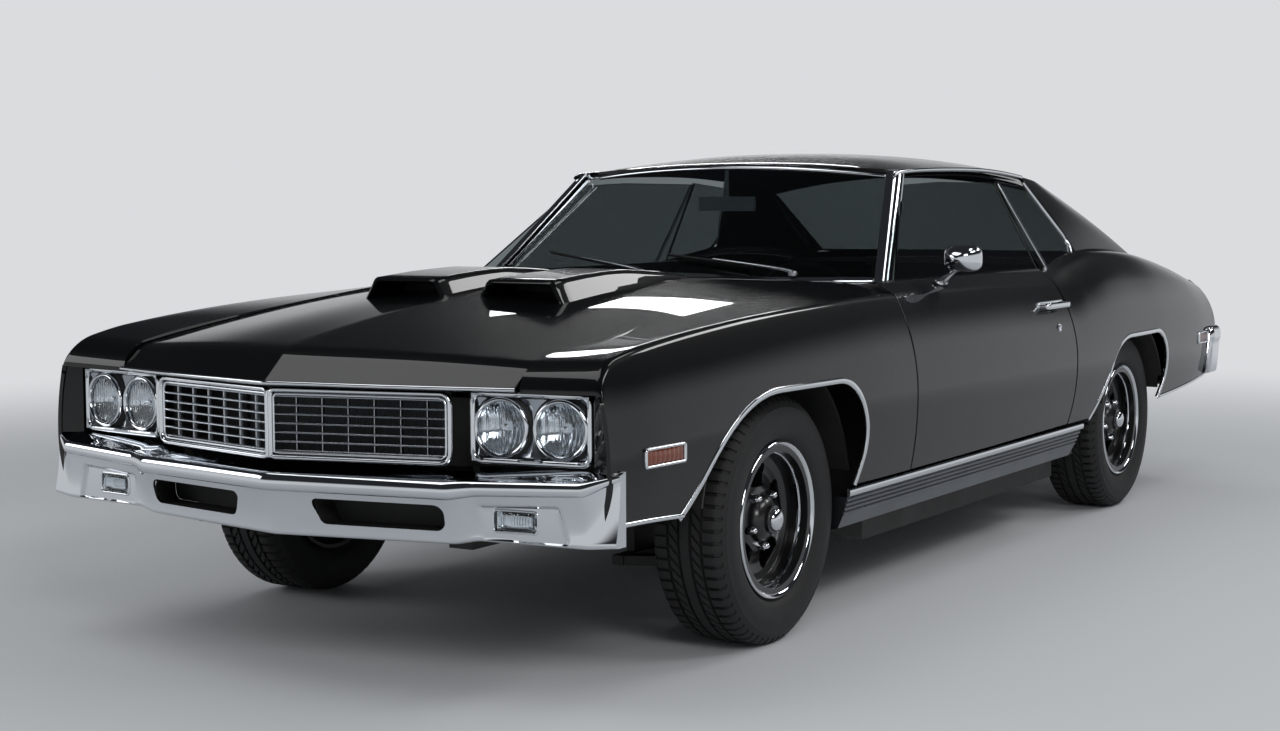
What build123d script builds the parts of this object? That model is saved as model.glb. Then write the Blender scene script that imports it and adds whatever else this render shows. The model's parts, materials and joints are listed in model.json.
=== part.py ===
"""Two-door hardtop muscle car as an assembly of named solids.

Millimetres. +X is forward, +Y is the car's left, +Z is up.
The origin is on the ground below the middle of the car's box.
"""
import os
from collections import namedtuple
from math import acos, atan2, copysign, cos, pi, sin, sqrt, tan

from build123d import *

# Driving dimensions
WHEELBASE = 2845.0
FRONT_AXLE_X = 1510.0
REAR_AXLE_X = FRONT_AXLE_X - WHEELBASE
TYRE_RADIUS = 334.0
TYRE_HALF_WIDTH = 112.0
RIM_RADIUS = 205.0
BARREL_RADIUS = 190.0
BARREL_BORE = 180.0
WHEEL_Y = 757.0
KINGPIN_Y = 690.0
SPINDLE_RADIUS = 20.0
FIT = 0.3
SPOKES = 5
SLOT_LOW = 92.0
SLOT_HIGH = 156.0
PLATE_SPACING = 177.8
PLATE_HOLE_RADIUS = 3.5

# Axle height as drawn; larger tyres lift the whole car
AXLE_Z = 334.0
LIFT = TYRE_RADIUS - AXLE_Z

# Heights that go with the axle: driveline, tunnel, rear floor and the rails' arch over the axle
DRIVELINE_Z = AXLE_Z - 4.0
TUNNEL_TOP = AXLE_Z + 66.0
REAR_FLOOR_Z = AXLE_Z + 179.0
RAIL_ARCH_Z = AXLE_Z + 136.0
RAIL_HALF_WIDTH = 35.0
RAIL_HALF_HEIGHT = 40.0
FRONT_HOUSE_GAP = 91.0
REAR_HOUSE_GAP = 38.0
SHEET = 12.0

DOOR_FRONT_X = 790.0
DOOR_REAR_X = REAR_AXLE_X + 745.0
DOOR_GAP = 8.0
PANEL = 22.0
GEARBOX_REAR_X = 330.0
ROOF_FRONT_X = 205.0

HINGE_X = DOOR_FRONT_X - 80.0
HINGE_Y = 918.0
PIN_RADIUS = 6.0
HOOD_HINGE = (825.0, 640.0, 917.0)
DECK_HINGE = (REAR_AXLE_X - 583.0, 560.0, 929.0)


def aft(dx):
    """Station behind the doors, which keeps its distance from the rear axle."""
    return REAR_AXLE_X + dx


# Body side sections, from the nose to the tail
Side = namedtuple("Side", "x y_low z_low y_wide z_wide y_edge z_edge y_top z_top")
SIDES = [
    Side(2400, 866, 430, 890, 560, 848, 806, 638, 800),
    Side(2186, 880, 425, 908, 585, 853, 845, 650, 834),
    Side(1728, 898, 400, 927, 605, 861, 882, 672, 880),
    Side(1138, 905, 391, 936, 612, 864, 902, 692, 926),
    Side(790, 905, 390, 938, 612, 862, 904, 703, 936),
    Side(100, 905, 390, 940, 612, 857, 898, 796, 938),
    Side(DOOR_REAR_X, 905, 390, 940, 612, 850, 888, 788, 932),
    Side(aft(535), 905, 390, 940, 615, 843, 925, 775, 962),
    Side(aft(290), 904, 390, 939, 618, 834, 962, 760, 988),
    Side(REAR_AXLE_X, 903, 390, 937, 620, 824, 966, 745, 990),
    Side(aft(-365), 900, 395, 932, 620, 815, 944, 725, 968),
    Side(aft(-815), 890, 415, 915, 620, 800, 886, 700, 905),
    Side(aft(-1145), 872, 440, 890, 620, 782, 826, 690, 840),
]

# Roof skin sections: half width and height of the rail, height of the crown
RoofRow = namedtuple("RoofRow", "x y_rail z_rail z_crown")
ROOF_ROWS = [
    RoofRow(ROOF_FRONT_X, 612, 1272, 1306),
    RoofRow((ROOF_FRONT_X + aft(785)) / 2, 622, 1284, 1342),
    RoofRow(aft(785), 622, 1282, 1345),
    RoofRow(aft(335), 610, 1250, 1322),
    RoofRow(aft(150), 592, 1222, 1292),
]
ROOF_SKIN = 28.0

# Hood sections by distance from the middle: lip, top of the face, middle and rear of the top
HoodRow = namedtuple("HoodRow", "y x_lip z_lip x_face z_face x_mid z_mid z_rear")
HOOD_ROWS = [
    HoodRow(0, 2567, 748, 2478, 826, 1700, 930, 962),
    HoodRow(330, 2495, 747, 2408, 818, 1690, 916, 954),
    HoodRow(660, 2405, 746, 2330, 802, 1680, 880, 937),
    HoodRow(720, 2385, 746, 2312, 798, 1680, 872, 933),
]
HOOD_REAR_X = 800.0
HOOD_SKIN = 36.0

DeckRow = namedtuple("DeckRow", "x y_edge z_edge z_crown")
DECK_ROWS = [
    DeckRow(aft(-567), 704, 939, 953),
    DeckRow(aft(-865), 691, 893, 910),
    DeckRow(aft(-1145), 683, 836, 852),
]

# Bumper sections from the middle out: roll face, rear top edge, roll top and radius, lower edge, depth
BumperRow = namedtuple("BumperRow", "y x_face z_back z_top roll x_low z_low depth")
FRONT_BUMPER_ROWS = [
    BumperRow(0, 2585, 556, 532, 24, 2545, 372, -95),
    BumperRow(488, 2499, 556, 532, 24, 2458, 375, -95),
    BumperRow(545, 2474, 557, 534, 20, 2446, 386, -88),
    BumperRow(832, 2438, 561, 544, 18, 2420, 386, -62),
    BumperRow(904, 2388, 566, 560, 6, 2404, 392, -28),
]
REAR_BUMPER_ROWS = [
    BumperRow(0, aft(-1250), 640, 640, 32, aft(-1215), 440, 85),
    BumperRow(450, aft(-1243), 640, 640, 32, aft(-1208), 440, 85),
    BumperRow(760, aft(-1210), 636, 636, 30, aft(-1178), 440, 80),
    BumperRow(896, aft(-1155), 630, 630, 24, aft(-1130), 445, 70),
]

# Seat places: front edge of the rear seat, and the front seats midway between it and the dash
REAR_SEAT_X = -720.0
SEAT_X = -262.0

# Frame rail centres along the car
RailRow = namedtuple("RailRow", "x y z")
RAIL_ROWS = [
    RailRow(2330, 412, 380),
    RailRow(1180, 412, 380),
    RailRow(830, 745, 215),
    RailRow(aft(555), 745, 215),
    RailRow(aft(255), 500, RAIL_ARCH_Z),
    RailRow(aft(-225), 500, RAIL_ARCH_Z),
    RailRow(aft(-325), 500, 390),
    RailRow(aft(-1095), 500, 390),
]

# Wheels by name, axle place and side
WheelRow = namedtuple("WheelRow", "name x side")
WHEELS = [
    WheelRow("front_left", FRONT_AXLE_X, 1),
    WheelRow("front_right", FRONT_AXLE_X, -1),
    WheelRow("rear_left", REAR_AXLE_X, 1),
    WheelRow("rear_right", REAR_AXLE_X, -1),
]

# Wheel arch corners beside the axle, from front foot to rear foot, each with its arc
ArchCorner = namedtuple("ArchCorner", "dx dz radius")
FRONT_ARCH = [ArchCorner(600, 46, 0), ArchCorner(346, 363, 480), ArchCorner(-467, 356, 170), ArchCorner(-330, -4, 0)]
REAR_ARCH = [ArchCorner(560, -4, 0), ArchCorner(261, 334, 280), ArchCorner(-414, 334, 155), ArchCorner(-300, 26, 0)]
ARCH_FOOT = -134.0


def blend(rows, x, column):
    """Value of a column at x, by a smooth curve through the rows."""
    order = sorted(rows, key=lambda row: row.x)
    xs = [row.x for row in order]
    vs = [getattr(row, column) for row in order]
    x = min(max(x, xs[0]), xs[-1])
    at = max(i for i in range(len(xs) - 1) if xs[i] <= x)
    slopes = []
    for i in (at, at + 1):
        low = max(i - 1, 0)
        high = min(i + 1, len(xs) - 1)
        slopes.append((vs[high] - vs[low]) / (xs[high] - xs[low]))
    span = xs[at + 1] - xs[at]
    t = (x - xs[at]) / span
    return ((2 * t**3 - 3 * t**2 + 1) * vs[at] + (t**3 - 2 * t**2 + t) * span * slopes[0]
            + (3 * t**2 - 2 * t**3) * vs[at + 1] + (t**3 - t**2) * span * slopes[1])


def side_at(x):
    """Body side section at x."""
    return Side(x, *[blend(SIDES, x, column) for column in Side._fields[1:]])


def bulge(wide, end):
    """Middle of the arc that is upright at its widest point and runs to the end, as (y, z)."""
    run = wide[0] - end[0]
    rise = end[1] - wide[1]
    radius = (run**2 + rise**2) / (2 * run)
    half = atan2(rise, radius - run) / 2
    return (wide[0] - radius + radius * cos(half), wide[1] + radius * sin(half))


def ring(points, arcs=None):
    """Closed wire through 3-D points; arcs gives a middle point for some edges."""
    arcs = arcs or {}
    edges = []
    for i, start in enumerate(points):
        end = points[(i + 1) % len(points)]
        if i in arcs:
            edges.append(Edge.make_three_point_arc(start, arcs[i], end))
        else:
            edges.append(Edge.make_line(start, end))
    return Wire(edges)


def rounded(corners):
    """Points and arc middles of a closed flat outline, from corners of two places and a radius."""
    points = []
    arcs = {}
    for i, (a, b, radius) in enumerate(corners):
        if radius <= 0:
            points.append((a, b))
            continue
        ends = []
        for other in (corners[i - 1], corners[(i + 1) % len(corners)]):
            reach = sqrt((other[0] - a) ** 2 + (other[1] - b) ** 2)
            ends.append(((other[0] - a) / reach, (other[1] - b) / reach))
        half = acos(ends[0][0] * ends[1][0] + ends[0][1] * ends[1][1]) / 2
        mid = (ends[0][0] + ends[1][0], ends[0][1] + ends[1][1])
        size = sqrt(mid[0] ** 2 + mid[1] ** 2)
        inward = (radius / sin(half) - radius) / size
        arcs[len(points)] = (a + mid[0] * inward, b + mid[1] * inward)
        points += [(a + u * radius / tan(half), b + v * radius / tan(half)) for u, v in ends]
    return points, arcs


def flat_ring(corners, place):
    """Closed wire with rounded corners; place turns two flat places into a 3-D point."""
    points, arcs = rounded(corners)
    return ring([place(*p) for p in points], {i: place(*m) for i, m in arcs.items()})


def loft_rings(wires, ruled=False):
    """Solid through closed wires."""
    return Solid.make_loft(wires, ruled)


def block(x_range, y_range, z_range):
    """Box between three pairs of limits."""
    size = [high - low for low, high in (x_range, y_range, z_range)]
    mid = [(high + low) / 2 for low, high in (x_range, y_range, z_range)]
    return Pos(*mid) * Box(*size)


def rod(x, y, z, radius, length, axis="Y"):
    """Cylinder centred on a point, along one axis."""
    turn = {"X": Rot(0, 90, 0), "Y": Rot(90, 0, 0), "Z": Rot(0, 0, 0)}[axis]
    return Pos(x, y, z) * turn * Cylinder(radius, length)


def right(shape):
    """Mirror image on the car's right side."""
    return mirror(shape, about=Plane.XZ)


def both(shape):
    """A left piece and its mirror image as one node."""
    return Compound(children=[solid for half in (shape, right(shape)) for solid in half.solids()])


def side_prism(points, y_low, y_high):
    """Upright prism across the car from an outline in x and z."""
    wire = ring([(x, y_low, z) for x, z in points])
    return extrude(Face(wire), y_high - y_low, dir=(0, 1, 0))


def plan_prism(points, z_low, z_high):
    """Upright prism from an outline in x and y."""
    wire = ring([(x, y, z_low) for x, y in points])
    return extrude(Face(wire), z_high - z_low, dir=(0, 0, 1))


def arch_prism(outline, axle_x):
    """Cutter for one left wheel arch."""
    corners = [(axle_x + row.dx, AXLE_Z + row.dz, row.radius) for row in outline]
    low = AXLE_Z + ARCH_FOOT
    corners = [(corners[0][0], low, 0)] + corners + [(corners[-1][0], low, 0)]
    return extrude(Face(flat_ring(corners, lambda x, z: (x, 600, z))), 500, dir=(0, 1, 0))


def skin_ring(x, thickness, brow_z=None):
    """Section of a thin body side with its shelf, at x."""
    s = side_at(x)
    under_top = s.z_top - thickness if brow_z is None else brow_z
    under_edge = s.z_edge - thickness if brow_z is None else brow_z
    pts = [(s.y_low, s.z_low), (s.y_wide, s.z_wide), (s.y_edge, s.z_edge), (s.y_top, s.z_top),
           (s.y_top, under_top), (s.y_edge - thickness, under_edge),
           (s.y_wide - thickness, s.z_wide), (s.y_low - thickness, s.z_low)]
    mids = {0: bulge(pts[1], pts[0]), 1: bulge(pts[1], pts[2])}
    return ring([(x, *p) for p in pts], {i: (x, *m) for i, m in mids.items()})


def front_fender():
    """Left front fender with its arch, rounded nose and brow."""
    wires = [skin_ring(x, PANEL) for x in (DOOR_FRONT_X, 1138, 1510, 1860, 2186)]
    wires.append(skin_ring(2400, PANEL, brow_z=748))
    fender = loft_rings(wires)
    nose = [(2400, 0, 736), (2310, 0, 828), (2310, 0, 900), (2460, 0, 900), (2460, 0, 736)]
    corner = ring(nose, {0: (2378, 0, 796)})
    return fender - extrude(Face(corner), 1100, dir=(0, 1, 0)) - arch_prism(FRONT_ARCH, FRONT_AXLE_X)


def quarter_panel():
    """Left quarter panel from the door to the tail, with its arch."""
    start = DOOR_REAR_X - DOOR_GAP
    wires = [skin_ring(x, PANEL) for x in [start] + [row.x for row in SIDES if row.x < start]]
    return loft_rings(wires) - arch_prism(REAR_ARCH, REAR_AXLE_X)


def door_ring(x):
    """Section of the whole door thickness at x."""
    s = side_at(x)
    wide_top = 796 - (100 - x) * 0.0116
    pts = [(s.y_low, s.z_low), (s.y_wide, s.z_wide), (s.y_edge, s.z_edge), (wide_top, 937),
           (756, 937), (752, 600), (772, s.z_low)]
    mids = {0: bulge(pts[1], pts[0]), 1: bulge(pts[1], pts[2])}
    return ring([(x, *p) for p in pts], {i: (x, *m) for i, m in mids.items()})


GLASS_SLOPE = (783.0 - 606.0) / (1262.0 - 935.0)


def glass_y(z):
    """Outer face of the side glass at a height."""
    return 783.0 - GLASS_SLOPE * (z - 935.0)


def side_pane(points, thickness=6.0, shift=0.0):
    """Flat side window from an outline in x and z, moved out by the shift."""
    wire = ring([(x, glass_y(z) + shift, z) for x, z in points])
    return extrude(Face(wire), thickness, dir=(0, -cos(atan2(GLASS_SLOPE, 1)), -sin(atan2(GLASS_SLOPE, 1))))


PANE_REAR_X = DOOR_REAR_X - DOOR_GAP
DOOR_PANE = [(615, 880), (615, 925), (236, 1228), (ROOF_FRONT_X - 305, 1240), (PANE_REAR_X, 1238),
             (PANE_REAR_X, 942), (PANE_REAR_X + 38, 940), (PANE_REAR_X + 38, 880)]
QUARTER_PANE = [(PANE_REAR_X - DOOR_GAP, 918), (PANE_REAR_X - DOOR_GAP, 1244), (aft(475), 1226), (aft(305), 1012),
                (aft(355), 978), (aft(535), 948)]


def quarter_window(quarters):
    """Left quarter window standing on the quarter panel's shelf."""
    pane = side_pane(QUARTER_PANE, shift=6.5) - quarters
    return max(pane.solids(), key=lambda solid: solid.volume)


def door():
    """Left door with its window slot, hinge pockets and set-back inner shell."""
    front = DOOR_FRONT_X - DOOR_GAP
    panel = loft_rings([door_ring(front + k * (DOOR_REAR_X - front) / 4) for k in range(5)])
    panel -= block((HINGE_X - 32, front + 20), (600, 903), (300, 1000))
    panel -= plan_prism([(DOOR_REAR_X - 30, 700), (DOOR_REAR_X + 35, 700), (DOOR_REAR_X + 1, 905),
                         (DOOR_REAR_X - 30, 905)], 300, 1000)
    panel -= side_pane(DOOR_PANE)
    for z in (480, 690):
        panel -= block((HINGE_X - 30, HINGE_X + 54), (850, HINGE_Y + 8), (z - 25, z + 25))
        panel -= rod(HINGE_X, HINGE_Y, z, PIN_RADIUS + FIT, 86, "Z")
    return max(panel.solids(), key=lambda solid: solid.volume)


def hinge_pillar():
    """Left hinge pillar with its two door hinges."""
    pillar = block((HINGE_X - 25, 812), (725, 815), (300, 880))
    for z in (480, 690):
        pillar += block((HINGE_X - 6, HINGE_X + 6), (810, HINGE_Y), (z - 14, z + 14))
        pillar += rod(HINGE_X, HINGE_Y, z, PIN_RADIUS, 80, "Z")
    return pillar


def glass_sheet(top, low, top_shift, low_shift):
    """Curved glass between two bowed edges, each as end and middle points."""
    wires = []
    for (end, mid), shift in ((top, top_shift), (low, low_shift)):
        mirrored = (end[0], -end[1], end[2])
        back = [tuple(a + b for a, b in zip(p, shift)) for p in (end, mid, mirrored)]
        wires.append(ring([mirrored, end, back[0], back[2]], {0: mid, 2: back[1]}))
    return loft_rings(wires, ruled=True)


def windshield():
    """Bowed windshield."""
    return glass_sheet(((188, 580, 1258), (252, 0, 1292)), ((560, 706, 936), (775, 0, 936)),
                       (-6.4, 0, -3.4), (-11, 0, 0))


def rear_window():
    """Bowed rear window."""
    return glass_sheet(((aft(175), 560, 1206), (aft(135), 0, 1272)), ((aft(-465), 655, 958), (aft(-515), 0, 958)),
                       (4, 0, -6.6), (14, 0, 0))


def roof():
    """Roof skin, windshield pillars and sail panels as one shell."""
    wires = []
    for row in ROOF_ROWS:
        end = (row.x, row.y_rail, row.z_rail)
        other = (row.x, -row.y_rail, row.z_rail)
        low = (row.x, row.y_rail, row.z_rail - ROOF_SKIN)
        low_other = (row.x, -row.y_rail, row.z_rail - ROOF_SKIN)
        wires.append(ring([other, end, low, low_other],
                          {0: (row.x, 0, row.z_crown), 2: (row.x, 0, row.z_crown - ROOF_SKIN)}))
    shell = loft_rings(wires)
    foot = ring([(520, 700, 925), (598, 700, 925), (598, 744, 925), (520, 744, 925)])
    head = ring([(150, 566, 1278), (222, 566, 1274), (222, 611, 1262), (150, 611, 1270)])
    pillar = loft_rings([foot, head], ruled=True)
    sail_points = [(aft(463), 1250), (aft(285), 1012), (aft(335), 984), (aft(0), 985), (aft(-365), 962),
                   (aft(-505), 945), (aft(-165), 1105), (aft(155), 1226)]
    sail = sail_slab(sail_points, 45)
    shell = shell + pillar + right(pillar) + sail + right(sail)
    return shell - windshield() - rear_window()


def sail_slab(points, thickness):
    """Left sail panel as a flat slab through three corner places."""
    front = Vector(aft(435), 622, 1245)
    low = Vector(aft(290), 762, 986)
    rear = Vector(aft(-465), 722, 962)
    normal = (low - front).cross(rear - front).normalized()
    if normal.Y < 0:
        normal = normal * -1

    def place(x, z):
        y = front.Y - (normal.X * (x - front.X) + normal.Z * (z - front.Z)) / normal.Y
        return (x, y, z)

    return extrude(Face(ring([place(x, z) for x, z in points])), thickness, dir=tuple(normal * -1))


def hood_half():
    """Left half of the hood as sections across the car."""
    wires = []
    for row in HOOD_ROWS:
        lip = (row.x_lip, row.y, row.z_lip)
        face = (row.x_face, row.y, row.z_face)
        rear = (HOOD_REAR_X, row.y, row.z_rear)
        rear_low = (HOOD_REAR_X, row.y, row.z_rear - HOOD_SKIN)
        face_low = (row.x_face - 30, row.y, row.z_face - HOOD_SKIN)
        lip_low = (row.x_lip - 30, row.y, row.z_lip)
        mid = (row.x_mid, row.y, row.z_mid)
        mid_low = (row.x_mid, row.y, row.z_mid - HOOD_SKIN)
        wires.append(ring([lip, face, rear, rear_low, face_low, lip_low], {1: mid, 3: mid_low}))
    return loft_rings(wires)


ScoopRow = namedtuple("ScoopRow", "x y_in y_out z_low z_high radius")
SCOOP_ROWS = [
    ScoopRow(1760, 50, 340, 880, 976, 18),
    ScoopRow(1400, 60, 335, 900, 984, 18),
    ScoopRow(1060, 80, 320, 920, 958, 14),
]


def scoop():
    """Left hood scoop with an open mouth."""
    def section(x, y_in, y_out, z_low, z_high, radius):
        corners = [(y_in, z_low, 0), (y_out, z_low, 0), (y_out - 36, z_high, radius), (y_in + 36, z_high, radius)]
        return flat_ring(corners, lambda y, z: (x, y, z))
    outer = loft_rings([section(*row) for row in SCOOP_ROWS])
    inner = loft_rings([section(1765, 66, 324, 918, 964, 12), section(1560, 76, 316, 925, 968, 12)])
    return outer - inner


def hood():
    """Hood with its scoops and hinge pockets."""
    half = hood_half()
    panel = half + right(half)
    edge = 6.0
    outline = [(700, -695), (1138, -692 + edge), (1728, -672 + edge), (2186, -650 + edge), (2420, -636 + edge),
               (2700, -610), (2700, 610), (2420, 636 - edge), (2186, 650 - edge), (1728, 672 - edge),
               (1138, 692 - edge), (700, 695)]
    panel = panel & plan_prism(outline, 600, 1100)
    rear = Edge.make_three_point_arc((808, -720, 850), (846, 0, 850), (808, 720, 850))
    sides = [Edge.make_line((808, 720, 850), (700, 720, 850)), Edge.make_line((700, 720, 850), (700, -720, 850)),
             Edge.make_line((700, -720, 850), (808, -720, 850))]
    panel -= extrude(Face(Wire([rear] + sides)), 250, dir=(0, 0, 1))
    one = scoop()
    panel = panel + one + right(one)
    x, y, z = HOOD_HINGE
    for place in (y, -y):
        panel -= block((x - 60, x + 14), (place - 15, place + 15), (800, z + 9))
        panel -= rod(x, place, z, PIN_RADIUS + FIT, 66, "Y")
    return max(panel.solids(), key=lambda solid: solid.volume)


def deck_lid():
    """Deck lid with hinge pockets."""
    wires = []
    for row in DECK_ROWS:
        end = (row.x, row.y_edge, row.z_edge)
        other = (row.x, -row.y_edge, row.z_edge)
        low = (row.x, row.y_edge, row.z_edge - 30)
        low_other = (row.x, -row.y_edge, row.z_edge - 30)
        wires.append(ring([other, end, low, low_other],
                          {0: (row.x, 0, row.z_crown), 2: (row.x, 0, row.z_crown - 30)}))
    lid = loft_rings(wires)
    x, y, z = DECK_HINGE
    for place in (y, -y):
        lid -= block((x - 14, x + 60), (place - 15, place + 15), (800, z + 8))
        lid -= rod(x, place, z, PIN_RADIUS + FIT, 66, "Y")
    return max(lid.solids(), key=lambda solid: solid.volume)


def rear_deck(quarters):
    """Strip between the rear window and the lid, with the package shelf and the lid's hinges."""
    end = [(aft(-445), 712, 948), (aft(-549), 705, 940)]
    wires = []
    for x, y, z in end:
        wires.append(ring([(x, -y, z), (x, y, z), (x, y, z - 26), (x, -y, z - 26)],
                          {0: (x, 0, z + 14), 2: (x, 0, z - 12)}))
    strip = loft_rings(wires, ruled=True)
    strip += block((aft(-461), aft(155)), (-690, 690), (905, 925))
    x, y, z = DECK_HINGE
    for place in (y, -y):
        strip += block((x - 6, x + 48), (place - 9, place + 9), (872, 886))
        strip += block((x + 36, x + 48), (place - 9, place + 9), (872, 925))
        strip += block((x - 6, x + 6), (place - 9, place + 9), (872, z))
        strip += rod(x, place, z, PIN_RADIUS, 60, "Y")
    return strip - rear_window() - quarters


def firewall(fenders):
    """Firewall, cowl and hinge pillars."""
    wall = block((800, 812), (-735, 735), (255, 890))
    cowl = block((500, 790), (-735, 735), (880, 925))
    wall += cowl + block((785, 812), (-735, 735), (860, 890))
    wall -= block((480, 660), (-620, 620), (800, 1000))
    wall -= block((790, 820), (-150, 150), (240, 400))
    left = hinge_pillar() + block((797, 812), (735, 860), (700, 900))
    wall += left + right(left)
    x, y, z = HOOD_HINGE
    for place in (y, -y):
        wall += block((x - 40, x + 6), (place - 9, place + 9), (860, 885))
        wall += block((x - 6, x + 6), (place - 9, place + 9), (860, z))
        wall += rod(x, place, z, PIN_RADIUS, 60, "Y")
    return wall - windshield() - fenders


def frame_rail():
    """Left frame rail."""
    wires = []
    for row in RAIL_ROWS:
        y_in, y_out = row.y - RAIL_HALF_WIDTH, row.y + RAIL_HALF_WIDTH
        z_low, z_high = row.z - RAIL_HALF_HEIGHT, row.z + RAIL_HALF_HEIGHT
        wires.append(ring([(row.x, y_in, z_low), (row.x, y_out, z_low), (row.x, y_out, z_high),
                           (row.x, y_in, z_high)]))
    return loft_rings(wires, ruled=True)


def cross_members():
    """Cross members between the rails."""
    table = [((2260, 2320), 377, (350, 410)), ((1440, 1580), 377, (230, 340)),
             ((120, 220), 710, (215, 250)), ((aft(155), aft(215)), 465, (RAIL_ARCH_Z - 30, RAIL_ARCH_Z + 30)),
             ((aft(-965), aft(-915)), 465, (390, 430))]
    bars = [block(xs, (-y, y), zs) for xs, y, zs in table]
    lugs = block((1440, 1580), (377, 447), (230, 340))
    bars[1] = bars[1] + lugs + right(lugs)
    return Compound(children=[solid for bar in bars for solid in bar.solids()])


def floor_pan(neighbours):
    """Cabin floor with tunnel, seat step, bulkhead and trunk floor."""
    rear, tail = aft(505), aft(-265)
    floor = block((rear, 800), (-840, 840), (255, 265))
    hollow = block((rear - 10, 810), (-138, 138), (240, TUNNEL_TOP - SHEET))
    tunnel = block((rear, 800), (-150, 150), (255, TUNNEL_TOP)) - hollow
    floor = floor - block((rear - 10, 810), (-138, 138), (240, 300)) + tunnel
    step = block((rear - SHEET, rear), (-690, 690), (255, REAR_FLOOR_Z + SHEET))
    deck = block((tail, rear), (-690, 690), (REAR_FLOOR_Z, REAR_FLOOR_Z + SHEET))
    deck += block((tail - SHEET, tail), (-690, 690), (430, REAR_FLOOR_Z + SHEET))
    trunk = block((aft(-1105), tail), (-845, 845), (430, 430 + SHEET))
    bulkhead = block((aft(155) - SHEET, aft(155)), (-690, 690), (REAR_FLOOR_Z, 905))
    pan = floor + step + deck + trunk + bulkhead
    pan -= block((rear - 20, rear + 10), (-138, 138), (240, TUNNEL_TOP - SHEET))
    for side in (1, -1):
        pan -= rod(REAR_AXLE_X, side * 732.5, AXLE_Z, TYRE_RADIUS + REAR_HOUSE_GAP + 8, 345)
    for neighbour in neighbours:
        pan -= neighbour
    return max(pan.solids(), key=lambda solid: solid.volume)


def wheelhouse(axle_x, y_in, y_out, radius, low_z):
    """Left wheelhouse: an arched tunnel with an inner wall."""
    arch = rod(axle_x, (y_in + y_out) / 2, AXLE_Z, radius + 8, y_out - y_in)
    hollow = rod(axle_x, (y_in + y_out) / 2 + 8, AXLE_Z, radius, y_out - y_in)
    arch = arch & block((axle_x - 600, axle_x + 600), (0, 1000), (low_z, 1000))
    return arch - hollow - block((axle_x - 170, axle_x + 170), (y_in - 10, y_in + 20), (400, 520))


def rocker():
    """Left rocker with its rounded outer face."""
    section = [(840, 255), (868, 262), (882, 296), (905, 380), (840, 380)]
    wires = [ring([(x, y, z) for y, z in section], {2: (x, 899, 338)}) for x in (FRONT_AXLE_X - TYRE_RADIUS - 56, aft(645))]
    return loft_rings(wires, ruled=True)


def bumper_half(rows):
    """Left half of a bumper bar with a round roll along its top; depth points into the car."""
    wires = []
    for row in rows:
        inward = copysign(1, row.depth)
        back = row.x_face + row.depth
        roll_top = (row.x_face + inward * row.roll, row.z_top)
        roll_low = (row.x_face + inward * row.roll * 0.7, row.z_top - 2 * row.roll)
        pts = [(back, row.z_back), roll_top, roll_low, (row.x_low, row.z_low), (back, row.z_low)]
        wires.append(ring([(px, row.y, pz) for px, pz in pts],
                          {1: (row.x_face, row.y, row.z_top - row.roll)}))
    return loft_rings(wires, ruled=True)


def opening(corners, x_low, x_high):
    """Prism along the car from rounded corners of y, z and radius."""
    return extrude(Face(flat_ring(corners, lambda y, z: (x_low, y, z))), x_high - x_low, dir=(1, 0, 0))


PARK_LAMP = [(586, 412, 12), (706, 412, 12), (706, 466, 12), (586, 466, 12)]
LAMP_PANEL = [(556, 350, 0), (800, 350, 0), (762, 482, 30), (552, 472, 10)]


def front_bumper():
    """Front bumper with two lower intakes and lamp pockets."""
    half = bumper_half(FRONT_BUMPER_ROWS)
    half -= opening([(140, 406, 20), (466, 406, 24), (470, 470, 24), (112, 470, 14)], 2300, 2620)
    half -= opening(LAMP_PANEL, 2300, 2620) & plan_prism([(2446, 540), (2650, 540), (2650, 820), (2412, 820)], 300, 500)
    half -= opening(PARK_LAMP, 2300, 2620)
    return half + right(half)


def parking_lamp():
    """Left parking lamp in its pocket."""
    wedge = plan_prism([(2390, 580), (2448, 580), (2431, 712), (2373, 712)], 412, 466)
    return wedge & opening(PARK_LAMP, 2300, 2620)


def rear_bumper():
    """Rear bumper bar with wrapped ends."""
    half = bumper_half(REAR_BUMPER_ROWS)
    end = block((aft(-1125), aft(-995)), (862, 900), (450, 626))
    half = half + end
    return half + right(half)


BEZEL_TURN = 7.8
BEZEL_CENTRE = (2392.0, 660.0, 653.0)
BEZEL_DISH = 24.0
LAMP_Y = 78.0
LAMP_RADIUS = 70.0
LAMP_RIM = 5.0


def bezel_local(shape):
    """Place a piece drawn with its face at x 0 into the left bezel."""
    return Pos(*BEZEL_CENTRE) * Rot(0, 0, BEZEL_TURN) * shape


def headlamp_bezel():
    """Left bezel with two stepped lamp holes."""
    plate = Pos(-25, 0, 0) * Box(50, 322, 176)
    plate = fillet(plate.edges().filter_by(Axis.X), 22)
    dish = []
    for x, half_y, half_z in ((1, 150, 77), (-BEZEL_DISH, 140, 67)):
        corners = [(-half_y, -half_z, 18), (half_y, -half_z, 18), (half_y, half_z, 18), (-half_y, half_z, 18)]
        dish.append(flat_ring(corners, lambda y, z, x=x: (x, y, z)))
    plate -= loft_rings(dish, ruled=True)
    for y in (-LAMP_Y, LAMP_Y):
        plate += rod(-27, y, 0, LAMP_RADIUS + LAMP_RIM, 40, "X")
    for y in (-LAMP_Y, LAMP_Y):
        plate -= rod(0, y, 0, LAMP_RADIUS, 200, "X")
    return bezel_local(plate)


def headlamps():
    """Left pair of round headlamps."""
    lamps = []
    for y in (-LAMP_Y, LAMP_Y):
        lamp = rod(-30, 0, 0, LAMP_RADIUS - FIT, 60, "X") & Pos(-266, 0, 0) * Sphere(262)
        lamps.append(bezel_local(Pos(0, y, 0) * lamp))
    return Compound(children=[solid for lamp in lamps for solid in lamp.solids()])


GRILLE_TURN = 13.4


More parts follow.
